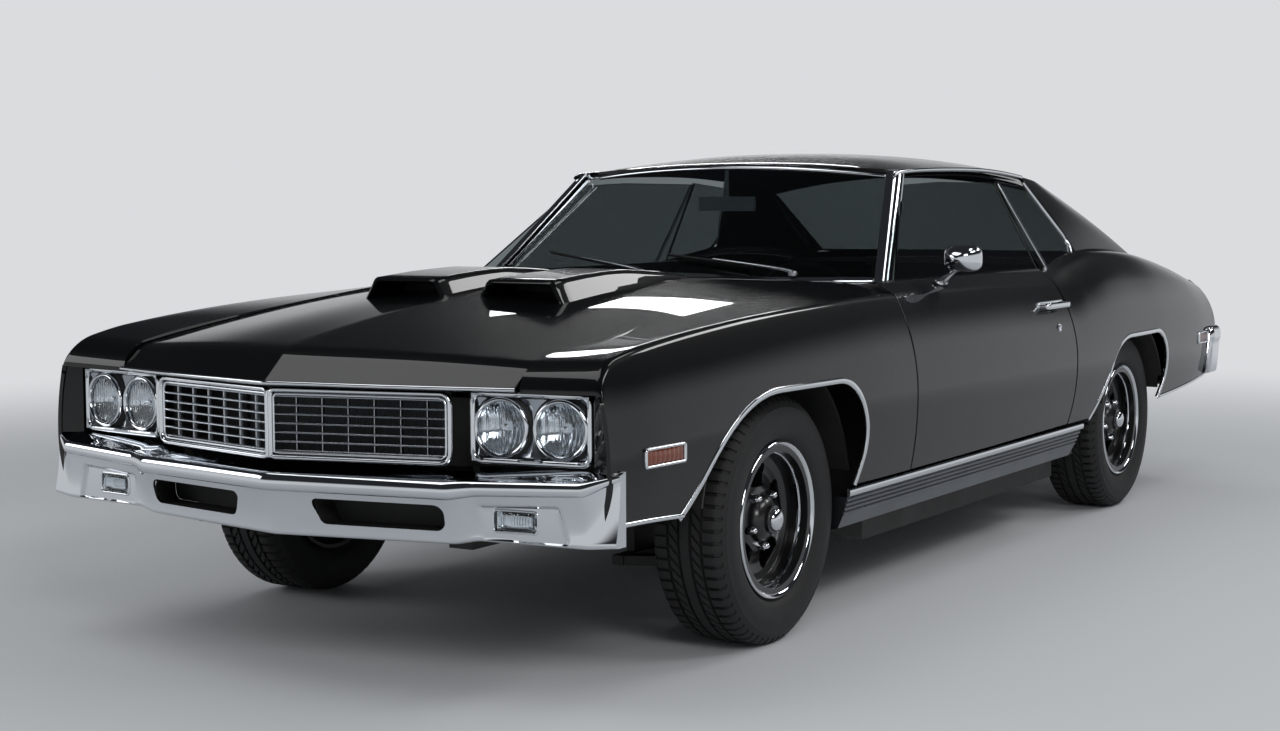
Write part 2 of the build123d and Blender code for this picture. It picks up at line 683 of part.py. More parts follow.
def grille():
    """Grille of two angled halves with bars in a frame."""
    width, height = 484.0, 156.0
    rim = 10.0
    high = height / 2
    outer = [(0, -high, 0), (width, -high, 24), (width, high, 24), (0, high, 0)]
    hole = [(rim, rim - high, 0), (width - rim, rim - high, 16), (width - rim, high - rim, 16), (rim, high - rim, 0)]
    frame = opening(outer, -30, 0) - opening(hole, -60, 60)
    for i in range(1, 9):
        frame += Pos(-14, width / 2, -height / 2 + i * height / 9) * Box(16, width - 10, 4)
    for i in range(1, 7):
        frame += Pos(-18, i * width / 7, 0) * Box(16, 4, height - 10)
    half = Pos(2549, 0, 636) * Rot(0, 0, GRILLE_TURN) * frame
    half = half & block((2300, 2600), (0, 700), (500, 800))
    return half + right(half)


def radiator_support(parts):
    """Support across the nose that carries the fenders, lamps and grille."""
    wall = block((2236, 2262), (-893, 893), (420, 760))
    wall -= block((2200, 2300), (-330, 330), (440, 700))
    core = block((2242, 2256), (-336, 336), (434, 706))
    wall += core
    post = block((2255, 2372), (470, 492), (560, 745)) + block((2255, 2338), (492, 838), (700, 740))
    post += block((2255, 2338), (492, 838), (560, 590)) + block((2255, 2420), (425, 470), (556, 600))
    bracket = block((2240, 2470), (377, 447), (478, 532))
    wall += post + right(post) + bracket + right(bracket)
    for part in parts:
        wall -= part
    return max(wall.solids(), key=lambda solid: solid.volume)


def side_marker(x, y, z, length, height):
    """Left side marker lamp as a thin block, cut later by the panel it sits on."""
    return block((x - length / 2, x + length / 2), (y - 15, y + 3), (z - height / 2, z + height / 2))


def tail_panel(quarters, bar):
    """Tail panel with two lamp pockets."""
    panel = block((aft(-1169), aft(-1143)), (-800, 800), (645, 796))
    panel += block((aft(-1155), aft(-1143)), (-700, 700), (640, 650))
    panel += block((aft(-1144), aft(-1105)), (-700, 700), (430, 700))
    for side in (1, -1):
        panel -= block((aft(-1185), aft(-1155)), sorted((side * 380, side * 740)), (660, 770))
    for y in (-300, 300):
        panel += block((aft(-1175), aft(-1115)), (y - 25, y + 25), (490, 580))
    for y in (-PLATE_SPACING / 2, PLATE_SPACING / 2):
        panel -= rod(aft(-1155), y, 740, PLATE_HOLE_RADIUS, 60, "X")
    return panel - quarters - bar


def tail_lamp():
    """Left tail lamp."""
    return block((aft(-1177), aft(-1155)), (380, 740), (660, 770))


def knuckle():
    """Left steering knuckle with its spindle and ball pins."""
    post = block((FRONT_AXLE_X - 22, FRONT_AXLE_X + 22), (KINGPIN_Y - 20, KINGPIN_Y + 20), (225, 445))
    post += rod(FRONT_AXLE_X, KINGPIN_Y + 55, AXLE_Z, SPINDLE_RADIUS, 120)
    post += rod(FRONT_AXLE_X, KINGPIN_Y, 335, 12, 280, "Z")
    return post


def control_arms():
    """Left control arms with bores for the ball pins."""
    arms = []
    for z, y_root, x_half in ((211, 447, 150), (459, 447, 110)):
        plan = [(FRONT_AXLE_X - x_half, y_root), (FRONT_AXLE_X + x_half, y_root),
                (FRONT_AXLE_X + 26, KINGPIN_Y + 22), (FRONT_AXLE_X - 26, KINGPIN_Y + 22)]
        arm = plan_prism(plan, z - 13, z + 13)
        arm -= plan_prism([(FRONT_AXLE_X - x_half + 45, y_root - 1), (FRONT_AXLE_X + x_half - 45, y_root - 1),
                           (FRONT_AXLE_X, 600)], z - 20, z + 20)
        arm -= rod(FRONT_AXLE_X, KINGPIN_Y, z, 12 + FIT, 60, "Z")
        arms.append(arm)
    tower = block((FRONT_AXLE_X - 110, FRONT_AXLE_X - 65), (420, 447), (420, 500))
    tower += block((FRONT_AXLE_X + 65, FRONT_AXLE_X + 110), (420, 447), (420, 500))
    arms[1] = arms[1] + tower
    foot = block((FRONT_AXLE_X - 130, FRONT_AXLE_X + 130), (425, 447), (198, 230))
    arms[0] = arms[0] + (foot & block((FRONT_AXLE_X - 70, FRONT_AXLE_X + 70), (0, 1000), (0, 1000)))
    arms[0] = arms[0] + block((FRONT_AXLE_X - 150, FRONT_AXLE_X + 150), (425, 460), (198, 224))
    return Compound(children=[solid for arm in arms for solid in arm.solids()])


def rear_axle():
    """Rear axle with springs, spindles and propeller shaft."""
    axle = rod(REAR_AXLE_X, 0, AXLE_Z, 40, 1270)
    axle += Pos(REAR_AXLE_X, 0, AXLE_Z) * Sphere(130)
    front = GEARBOX_REAR_X + 10
    axle += rod((front + REAR_AXLE_X) / 2, 0, DRIVELINE_Z, 34, front - REAR_AXLE_X, "X")
    for side in (1, -1):
        axle += rod(REAR_AXLE_X, side * 655, AXLE_Z, 130, 60)
        axle += rod(REAR_AXLE_X, side * 735, AXLE_Z, SPINDLE_RADIUS, 140)
        spring_low, spring_high = AXLE_Z + 30, RAIL_ARCH_Z - RAIL_HALF_HEIGHT
        axle += rod(REAR_AXLE_X, side * 500, (spring_low + spring_high) / 2, 34, spring_high - spring_low, "Z")
    return axle


def drivetrain(shaft):
    """Engine and gearbox as one plain block."""
    engine = block((1120, 1790), (-290, 290), (340, 830))
    engine = chamfer(engine.edges().filter_by(Axis.X).group_by(Axis.Z)[0], 110)
    box = block((GEARBOX_REAR_X, 1121), (-105, 105), (DRIVELINE_Z - 105, DRIVELINE_Z + 40))
    box += block((813, 1121), (-190, 190), (DRIVELINE_Z - 105, DRIVELINE_Z + 230))
    block_all = engine + box
    return block_all - shaft


def exhaust():
    """Left exhaust pipe with its muffler."""
    start, tail = 1080.0, aft(-1145)
    pipe = rod((start + tail) / 2, 330, 189, 25, start - tail, "X")
    muffler = block((-560, -20), (245, 415), (148, 236))
    muffler = fillet(muffler.edges().filter_by(Axis.X), 40)
    hanger = block((140, 200), (318, 342), (200, 215)) + block((aft(-955), aft(-925)), (322, 338), (205, 390))
    return pipe + muffler + hanger


def front_seat():
    """Left front bucket seat: rounded cushion and back with side bolsters, on its base."""
    x = (aft(615) - REAR_SEAT_X) / 2 + SEAT_X
    outline = [(x - 160, 330, 20), (x + 390, 350, 40), (x + 400, 505, 50), (x + 20, 470, 50), (x - 130, 950, 20),
               (x - 190, 1020, 30), (x - 262, 990, 40), (x - 195, 440, 60)]
    seat = extrude(Face(flat_ring(outline, lambda a, z: (a, 170, z))), 490, dir=(0, 1, 0))
    hollow = [(x + 420, 560, 0), (x + 420, 486, 0), (x + 40, 450, 40), (x - 150, 985, 0), (x - 100, 1060, 0)]
    seat -= extrude(Face(flat_ring(hollow, lambda a, z: (a, 250, z))), 330, dir=(0, 1, 0))
    return seat + block((x - 120, x + 340), (230, 600), (265, 345))


def rear_seat():
    """Rear bench."""
    low, floor = REAR_FLOOR_Z + SHEET + 1, 265
    outline = [(aft(615), floor, 0), (aft(615), low - 26, 40), (aft(575), low + 19, 20), (aft(285), low + 30, 40),
               (aft(195), 880, 30), (aft(156), 900, 10), (aft(156), low, 0), (aft(506), low, 0), (aft(506), floor, 0)]
    bench = extrude(Face(flat_ring(outline, lambda a, z: (a, -560, z))), 1120, dir=(0, 1, 0))
    return bench - block((aft(495), aft(635)), (-151, 151), (200, TUNNEL_TOP + 1))


def dashboard():
    """Dashboard with the steering column."""
    points = [(499, 890), (430, 905), (400, 860), (440, 640), (560, 620), (800 - FIT, 640), (800 - FIT, 852), (640, 872),
              (499, 879)]
    dash = side_prism(points, -690, 690)
    column = Pos(330, 370, 808) * Rot(0, STEERING_TILT, 0) * Pos(0, 0, 20 + FIT + 125) * Cylinder(24, 250)
    return dash + column


STEERING_CENTRE = (330.0, 370.0, 808.0)
STEERING_TILT = 118.0


def steering_wheel():
    """Steering wheel on its column."""
    wheel = Torus(185, 13) + Cylinder(40, 40)
    for turn in (0, 120, 240):
        wheel += Rot(0, 0, turn + 30) * Pos(105, 0, 0) * Box(180, 28, 12)
    return Pos(*STEERING_CENTRE) * Rot(0, STEERING_TILT, 0) * wheel


def wheel_slots():
    """Cutter for the slots between the spokes of one wheel, about the axle."""
    slots = []
    for i in range(SPOKES):
        corners = []
        for share, radius in ((-0.62, SLOT_LOW), (0.62, SLOT_LOW), (0.62, SLOT_HIGH), (-0.62, SLOT_HIGH)):
            turn = 2 * pi / SPOKES * (i + share / 2)
            corners.append((radius * sin(turn), radius * cos(turn), 12))
        slots.append(extrude(Face(flat_ring(corners, lambda a, b: (a, WHEEL_Y - 20, b))), 120, dir=(0, 1, 0)))
    return slots


def wheel_rim(row):
    """Spoked steel wheel with a deep dish and hub bore."""
    inner, outer = WHEEL_Y - 95, WHEEL_Y + 95
    points = [(BARREL_BORE, inner), (RIM_RADIUS, inner), (RIM_RADIUS, inner + 12), (BARREL_RADIUS, inner + 24),
              (BARREL_RADIUS, outer - 24), (RIM_RADIUS, outer - 12), (RIM_RADIUS, outer),
              (BARREL_BORE, outer - 6), (BARREL_BORE - 6, 800), (110, 786), (60, 800), (48, 830), (34, 836),
              (34, 818), (SPINDLE_RADIUS + FIT, 818), (SPINDLE_RADIUS + FIT, 722), (60, 722), (70, 770),
              (BARREL_BORE, 776)]
    wire = ring([(0, y, r) for r, y in points])
    rim = revolve(Face(wire), Axis.Y, 360)
    for slot in wheel_slots():
        rim -= slot
    return place_wheel(rim, row)


def place_wheel(shape, row):
    """Put a left wheel piece at its axle and side."""
    shape = shape if row.side > 0 else right(shape)
    return Pos(row.x, 0, AXLE_Z) * shape


def tyre(row):
    """Tyre with rounded shoulders, seated on the rim."""
    low, high = WHEEL_Y - TYRE_HALF_WIDTH, WHEEL_Y + TYRE_HALF_WIDTH
    points = [(0, WHEEL_Y - 70, BARREL_RADIUS + FIT), (0, low + 25, RIM_RADIUS + 8), (0, low + 14, TYRE_RADIUS - 18),
              (0, low + 36, TYRE_RADIUS), (0, high - 36, TYRE_RADIUS), (0, high - 14, TYRE_RADIUS - 18),
              (0, high - 25, RIM_RADIUS + 8), (0, WHEEL_Y + 70, BARREL_RADIUS + FIT)]
    middle = (RIM_RADIUS + TYRE_RADIUS) / 2
    mids = {1: (0, low, middle), 2: (0, low + 20, TYRE_RADIUS - 5), 4: (0, high - 20, TYRE_RADIUS - 5),
            5: (0, high, middle)}
    return place_wheel(revolve(Face(ring(points, mids)), Axis.Y, 360), row)


MIRROR_CENTRE = (392.0, 925.0, 1000.0)


def door_mirror():
    """Bullet mirror on its stem."""
    x, y, z = MIRROR_CENTRE
    outline = ring([(x - 20, y, z), (x - 20, y, z + 43), (x - 10, y, z + 47), (x + 52, y, z + 8), (x + 54, y, z)],
                   {2: (x + 26, y, z + 37)})
    head = revolve(Face(outline), Axis((x, y, z), (1, 0, 0)), 360)
    stem = loft_rings([ring([(365, 812, 905), (395, 812, 905), (395, 852, 895), (365, 852, 895)]),
                       ring([(385, 905, 975), (405, 905, 975), (405, 925, 970), (385, 925, 970)])], ruled=True)
    return head + stem


def door_handle():
    """Pull handle on the door skin."""
    rear, front = DOOR_REAR_X + 40, DOOR_REAR_X + 280
    bar = block((rear, front), (880, 934), (805, 829))
    bar -= block((rear + 24, front - 24), (870, 922), (800, 835))
    return fillet(bar.edges().filter_by(Axis.Z), 5)


def wipers(screen):
    """Two wiper arms lying at the foot of the windshield."""
    arms = []
    for y_start, y_end in ((560, 60), (-40, -540)):
        x_start = 775 - 215 * (y_start / 706) ** 2 + 18
        x_end = 775 - 215 * (y_end / 706) ** 2 + 18
        arm = plan_prism([(x_start, y_start), (x_start + 12, y_start), (x_end + 12, y_end), (x_end, y_end)], 940, 950)
        post = rod(x_start + 6, y_start - 8, 937, 9, 24, "Z")
        arms.append(arm + post - screen)
    return arms


def cabin_mirror(screen):
    """Cabin mirror on its stem."""
    head = block((238, 252), (-105, 105), (1142, 1190))
    stem = rod(246, 0, 1235, 7, 110, "Z")
    return max((head + stem - screen).solids(), key=lambda solid: solid.volume)


def write(nodes):
    """Export every node as one file."""
    os.makedirs("parts", exist_ok=True)
    for name, shape in nodes.items():
        solids = shape.solids()
        whole = solids[0] if len(solids) == 1 else Compound(children=list(solids))
        export_step(whole, os.path.join("parts", name + ".step"))


def assemble():
    """All nodes by name."""
    bumper = front_bumper()
    fenders = both(front_fender() - bumper)
    quarters = both(quarter_panel())
    rails = both(frame_rail())
    front_houses = both(wheelhouse(FRONT_AXLE_X, 447, 860, TYRE_RADIUS + FRONT_HOUSE_GAP, 420) - fenders - rails)
    rear_houses = both(wheelhouse(REAR_AXLE_X, 560, 905, TYRE_RADIUS + REAR_HOUSE_GAP, 430) - quarters - rails)
    tail_bar = rear_bumper() - quarters
    deck_strip = rear_deck(quarters)
    screen = windshield()
    bezels = both(headlamp_bezel())
    shaft = rear_axle()
    arms = wipers(screen)
    marker_front = side_marker(2190, 908, 585, 170, 46) - fenders
    marker_rear = side_marker(aft(-895), 911, 600, 170, 46) - quarters
    left_door = door()
    left_mirror = door_mirror() - left_door
    left_handle = door_handle() - left_door
    left_pane = side_pane(DOOR_PANE)
    nodes = {
        "front_fenders": fenders,
        "quarter_panels": quarters,
        "roof": roof() - quarters - deck_strip,
        "hood": hood(),
        "deck_lid": deck_lid(),
        "rear_deck": deck_strip,
        "firewall": firewall(fenders),
        "windshield": screen,
        "rear_window": rear_window(),
        "quarter_windows": both(quarter_window(quarters)),
        "frame_rails": rails,
        "cross_members": cross_members(),
        "wheelhouses": Compound(children=[s for shape in (front_houses, rear_houses) for s in shape.solids()]),
        "floor_pan": floor_pan([rear_houses, rails]),
        "rockers": both(rocker()),
        "front_bumper": bumper,
        "rear_bumper": tail_bar,
        "parking_lamps": both(parking_lamp()),
        "headlamp_bezels": bezels,
        "headlamps": both(headlamps()),
        "grille": grille(),
        "radiator_support": radiator_support([fenders, bezels, both(headlamps()), grille(), bumper]),
        "side_markers": Compound(children=[s for shape in (both(marker_front), both(marker_rear))
                                           for s in shape.solids()]),
        "tail_panel": tail_panel(quarters, tail_bar),
        "tail_lamps": both(tail_lamp()),
        "control_arms": both(control_arms()),
        "rear_axle": shaft,
        "drivetrain": drivetrain(shaft),
        "exhaust": both(exhaust()),
        "fuel_tank": fillet(block((aft(-905), aft(-445)), (-420, 420), (250, 430)).edges().filter_by(Axis.Y), 40),
        "front_seats": both(front_seat()),
        "rear_seat": rear_seat(),
        "dashboard": dashboard(),
        "steering_wheel": steering_wheel(),
        "wipers": Compound(children=[s for arm in arms for s in arm.solids()]),
        "cabin_mirror": cabin_mirror(screen),
        "door_left": left_door,
        "door_right": right(left_door),
        "door_window_left": left_pane,
        "door_window_right": right(left_pane),
        "door_handle_left": left_handle,
        "door_handle_right": right(left_handle),
        "door_mirror": left_mirror,
        "knuckle_left": knuckle(),
        "knuckle_right": right(knuckle()),
    }
    for row in WHEELS:
        nodes["wheel_" + row.name] = wheel_rim(row)
        nodes["tyre_" + row.name] = tyre(row)
    return {name: Pos(0, 0, LIFT) * shape for name, shape in nodes.items()}


if __name__ == "__main__":
    write(assemble())
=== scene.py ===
"""Blender dressing of the two-door hardtop muscle car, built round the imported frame."""
import json
import logging
import math
from dataclasses import dataclass, field
from enum import Enum
from typing import Callable, Optional, Sequence

import bpy
import numpy as np
from mathutils import Matrix, Vector

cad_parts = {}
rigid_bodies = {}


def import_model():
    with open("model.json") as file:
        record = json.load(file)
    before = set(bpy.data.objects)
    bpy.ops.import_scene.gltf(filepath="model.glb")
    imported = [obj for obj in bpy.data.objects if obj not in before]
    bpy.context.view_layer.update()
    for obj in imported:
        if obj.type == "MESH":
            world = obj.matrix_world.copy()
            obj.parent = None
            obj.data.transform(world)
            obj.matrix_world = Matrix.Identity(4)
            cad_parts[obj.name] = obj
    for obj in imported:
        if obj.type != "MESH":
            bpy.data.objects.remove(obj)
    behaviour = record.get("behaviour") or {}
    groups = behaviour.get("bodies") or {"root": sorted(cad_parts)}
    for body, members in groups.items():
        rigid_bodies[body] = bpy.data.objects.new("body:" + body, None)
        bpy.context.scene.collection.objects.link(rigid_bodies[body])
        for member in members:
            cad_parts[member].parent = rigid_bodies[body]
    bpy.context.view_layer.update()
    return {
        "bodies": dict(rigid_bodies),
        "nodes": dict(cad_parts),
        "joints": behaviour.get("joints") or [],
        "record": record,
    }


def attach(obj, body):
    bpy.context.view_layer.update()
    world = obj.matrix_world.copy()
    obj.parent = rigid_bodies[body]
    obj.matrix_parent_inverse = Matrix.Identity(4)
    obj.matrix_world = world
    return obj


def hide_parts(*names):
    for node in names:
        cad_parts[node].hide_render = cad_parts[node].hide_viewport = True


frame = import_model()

LOG = logging.getLogger("muscle_car")
MM = 0.001
CAR_MIDDLE = (0.0, 0.0, 620.0)
FRONT_AXLE_X = 1510.0
REAR_AXLE_X = -1335.0
AXLE_Z = 334.0
SIDES = ("left", "right")
Grid = np.ndarray
Place = tuple[float, float, float]
Corners = Sequence[Place]
Profile = Sequence[tuple[float, float]]


def linear(code: str) -> tuple[float, float, float, float]:
    """Turns an sRGB hex colour into linear light.

    Args:
        code: Colour such as "#1A2B3C".

    Returns:
        Red, green, blue and an alpha of 1.
    """
    parts = [int(code[i:i + 2], 16) / 255 for i in (1, 3, 5)]
    return (*[c / 12.92 if c <= 0.04045 else ((c + 0.055) / 1.055) ** 2.4 for c in parts], 1.0)


def add_node(tree: bpy.types.NodeTree, kind: str, settings: Optional[dict] = None,
        links: Optional[dict] = None) -> bpy.types.Node:
    """Adds one shader node with its settings and links.

    Args:
        tree: Node tree that takes the node.
        kind: Blender's node type.
        settings: Values by property name or input name.
        links: Source sockets by input name.

    Returns:
        The new node.
    """
    node = tree.nodes.new(kind)
    for key, value in (settings or {}).items():
        if isinstance(key, str) and hasattr(node, key):
            setattr(node, key, value)
        else:
            node.inputs[key].default_value = value
    for key, source in (links or {}).items():
        tree.links.new(source, node.inputs[key])
    return node


class Pattern(Enum):
    """How a surface's fine relief is laid out."""
    SPECKLE = "speckle"
    GRAIN = "grain"
    BRUSHED = "brushed"


@dataclass(frozen=True)
class Finish:
    """One real material and how its surface was made."""
    name: str
    colour: str
    second: str
    roughness: float
    spread: float = 0.05
    metallic: float = 0.0
    coat: float = 0.0
    coat_roughness: float = 0.03
    transmission: float = 0.0
    ior: float = 1.5
    specular: float = 0.5
    pattern: Pattern = Pattern.SPECKLE
    pattern_mm: float = 4.0
    patch_mm: float = 180.0
    relief: float = 0.0
    lets_lamps_through: bool = False

    def material(self) -> bpy.types.Material:
        """Builds the node material once and gives it again after that."""
        found = bpy.data.materials.get(self.name)
        return found if found else self.build()

    def build(self) -> bpy.types.Material:
        """Makes the material's nodes.

        Returns:
            The new material.
        """
        made = bpy.data.materials.new(self.name)
        made.use_nodes = True
        tree = made.node_tree
        tree.nodes.clear()
        place = add_node(tree, "ShaderNodeTexCoord").outputs["Object"]
        shader = add_node(tree, "ShaderNodeBsdfPrincipled",
                {"Base Color": linear(self.colour), "Roughness": self.roughness, "Metallic": self.metallic,
                "Coat Weight": self.coat, "Coat Roughness": self.coat_roughness,
                "Transmission Weight": self.transmission, "IOR": self.ior,
                "Specular IOR Level": self.specular})
        if self.spread:
            patches = add_node(tree, "ShaderNodeTexNoise",
                    {"Scale": 1 / (self.patch_mm * MM), "Detail": 3.0}, {"Vector": place})
            tint = add_node(tree, "ShaderNodeMix", {"data_type": "RGBA", 6: linear(self.colour),
                    7: linear(self.second)}, {0: patches.outputs["Fac"]})
            gloss = add_node(tree, "ShaderNodeMapRange", {"To Min": max(self.roughness - self.spread, 0.0),
                    "To Max": self.roughness + self.spread}, {"Value": patches.outputs["Fac"]})
            tree.links.new(tint.outputs[2], shader.inputs["Base Color"])
            tree.links.new(gloss.outputs[0], shader.inputs["Roughness"])
        if self.relief:
            bump = add_node(tree, "ShaderNodeBump",
                    {"Strength": self.relief, "Distance": self.pattern_mm * MM * 0.2},
                    {"Height": self.height(tree, place)})
            tree.links.new(bump.outputs[0], shader.inputs["Normal"])
        surface = shader.outputs[0]
        if self.lets_lamps_through:
            path = add_node(tree, "ShaderNodeLightPath")
            clear = add_node(tree, "ShaderNodeBsdfTransparent", {"Color": linear(self.colour)})
            surface = add_node(tree, "ShaderNodeMixShader", {},
                    {0: path.outputs["Is Shadow Ray"], 1: surface, 2: clear.outputs[0]}).outputs[0]
        add_node(tree, "ShaderNodeOutputMaterial", {}, {"Surface": surface})
        return made

    def height(self, tree: bpy.types.NodeTree, place: bpy.types.NodeSocket) -> bpy.types.NodeSocket:
        """Adds the relief pattern's nodes.

        Args:
            tree: The material's node tree.
            place: Socket with the surface position in metres.

        Returns:
            Socket with the relief height.
        """
        scale = 1 / (self.pattern_mm * MM)
        if self.pattern is Pattern.GRAIN:
            return add_node(tree, "ShaderNodeTexVoronoi", {"Scale": scale},
                    {"Vector": place}).outputs["Distance"]
        if self.pattern is Pattern.BRUSHED:
            drawn = add_node(tree, "ShaderNodeMapping", {"Scale": (0.02, 1.0, 1.0)}, {"Vector": place})
            place = drawn.outputs[0]
        return add_node(tree, "ShaderNodeTexNoise", {"Scale": scale, "Detail": 2.0},
                {"Vector": place}).outputs["Fac"]


# Black acrylic lacquer, polished: a deep dark mirror with faint orange peel, drawn coarser than real.
PAINT = Finish("black_lacquer", "#050607", "#07080A", 0.42, 0.04, coat=0.7, coat_roughness=0.012,
        specular=0.05, relief=0.006, pattern_mm=24.0, patch_mm=600.0)
# Nickel-chrome plate on pressed steel: a cool mirror with slight haze in patches.
CHROME = Finish("chrome_plate", "#D9DCE0", "#CDD1D6", 0.05, 0.025, metallic=1.0, patch_mm=240.0)
# Ribbed sill aluminium, anodised and weathered: dull and darker than the brightwork.
SILL = Finish("anodised_sill", "#70747A", "#5F6368", 0.30, 0.07, metallic=1.0, pattern=Pattern.BRUSHED,
        pattern_mm=2.5, relief=0.08)
# Anodised aluminium, brushed along its length: softer and greyer than chrome. Lines drawn coarser than real.
BRIGHT = Finish("brushed_aluminium", "#B4B8BD", "#A4A9AF", 0.24, 0.06, metallic=1.0,
        pattern=Pattern.BRUSHED, pattern_mm=2.5, relief=0.08)
# Silver enamel on die-cast zinc: metallic, slightly milky.
SILVER = Finish("silver_enamel", "#A9AEB4", "#9BA0A7", 0.20, 0.05, metallic=1.0, coat=0.3, pattern_mm=3.0,
        relief=0.02)
# Vulcanised tyre rubber with carbon black: matt, slightly uneven.
RUBBER = Finish("tyre_rubber", "#141415", "#1B1B1C", 0.72, 0.10, pattern_mm=2.2, relief=0.25, patch_mm=60.0)
# Satin black stove enamel on steel wheels: dark, with a soft gloss.
ENAMEL = Finish("satin_black_enamel", "#0B0B0C", "#111113", 0.32, 0.06, coat=0.35, coat_roughness=0.12,
        relief=0.04, pattern_mm=3.0)
# Chassis black over pressed steel: dull and dusty.
CHASSIS = Finish("chassis_black", "#141414", "#1F1D1B", 0.62, 0.12, relief=0.10, pattern_mm=5.0,
        patch_mm=120.0)
# Laminated window glass, floated: smooth and clear, with a grey tint.
GLASS = Finish("tinted_glass", "#868D8D", "#868D8D", 0.0, 0.0, transmission=1.0, ior=1.45,
        lets_lamps_through=True)
# Pressed lamp glass: clear and bright, rippled by its flutes.
LENS = Finish("clear_lamp_glass", "#F2F5F7", "#EEF2F5", 0.02, 0.0, transmission=1.0, ior=1.45,
        lets_lamps_through=True)
# Amber acrylic, moulded: warm and translucent over its reflector.
AMBER = Finish("amber_acrylic", "#7C310D", "#68270A", 0.16, 0.03, transmission=0.1, coat=0.4,
        pattern_mm=4.0, relief=0.3)
# Red acrylic, moulded: deep and translucent.
RED = Finish("red_acrylic", "#5C070A", "#4A0507", 0.16, 0.03, transmission=0.1, coat=0.4, pattern_mm=6.0,
        relief=0.3)
# Expanded vinyl on foam: black, with pressed leather grain.
VINYL = Finish("black_vinyl", "#17181A", "#1E1F22", 0.46, 0.08, pattern=Pattern.GRAIN, pattern_mm=5.0,
        relief=0.35)
# Loop pile carpet, tufted: dark grey and quite matt.
CARPET = Finish("loop_carpet", "#151517", "#202024", 0.92, 0.05, pattern=Pattern.GRAIN, pattern_mm=6.0,
        relief=0.8, patch_mm=25.0)
# Woven headliner cloth, dark grey. Threads drawn coarser than real.
CLOTH = Finish("headliner_cloth", "#242629", "#2C2E31", 0.9, 0.05, pattern=Pattern.GRAIN, pattern_mm=3.0,
        relief=0.4, patch_mm=40.0)
# Soft black seal rubber; the same black also stands as painted shade in the scoop mouths, bumper intakes and
# cowl slots.
SEAL_AND_SHADE = Finish("seal_rubber_and_painted_shade", "#0A0A0A", "#101010", 0.68, 0.08, pattern_mm=3.0, relief=0.1)
# Aluminised steel tube: grey, patchy.
PIPE = Finish("aluminised_steel", "#7B7A77", "#5E5B56", 0.42, 0.12, metallic=1.0, patch_mm=70.0,
        relief=0.06)
# Engine enamel sprayed on cast iron: dull, over a rough skin.
CAST = Finish("engine_enamel", "#23272B", "#2C3034", 0.48, 0.10, relief=0.15, pattern_mm=4.0)
# Aluminised lamp reflector, polished: a bright mirror with slight haze.
REFLECTOR = Finish("lamp_reflector", "#E3E7EB", "#D6DBE0", 0.09, 0.03, metallic=1.0, patch_mm=40.0)


@dataclass(frozen=True)
class Stations:
    """Columns of sizes along one axis, joined by smooth curves."""
    rows: tuple[tuple[float, ...], ...]

    def at(self, place: Grid) -> Grid:
        """Every column at some places, straight on beyond the ends.

        Args:
            place: Places along the axis.

        Returns:
            One row of column values for each place.
        """
        place = np.atleast_1d(np.asarray(place, float))
        table = np.array(sorted(self.rows), float)
        xs, vs = table[:, 0], table[:, 1:]
        slopes = np.empty_like(vs)
        slopes[1:-1] = (vs[2:] - vs[:-2]) / (xs[2:] - xs[:-2])[:, None]
        slopes[0] = (vs[1] - vs[0]) / (xs[1] - xs[0])
        slopes[-1] = (vs[-1] - vs[-2]) / (xs[-1] - xs[-2])
        inside = np.clip(place, xs[0], xs[-1])
        i = np.clip(np.searchsorted(xs, inside) - 1, 0, len(xs) - 2)
        span = (xs[i + 1] - xs[i])[:, None]
        t = (inside - xs[i])[:, None] / span
        value = ((2 * t**3 - 3 * t**2 + 1) * vs[i] + (t**3 - 2 * t**2 + t) * span * slopes[i]
            + (3 * t**2 - 2 * t**3) * vs[i + 1] + (t**3 - t**2) * span * slopes[i + 1])
        ends = np.where((place < xs[0])[:, None], slopes[0], slopes[-1])
        return value + ends * (place - inside)[:, None]


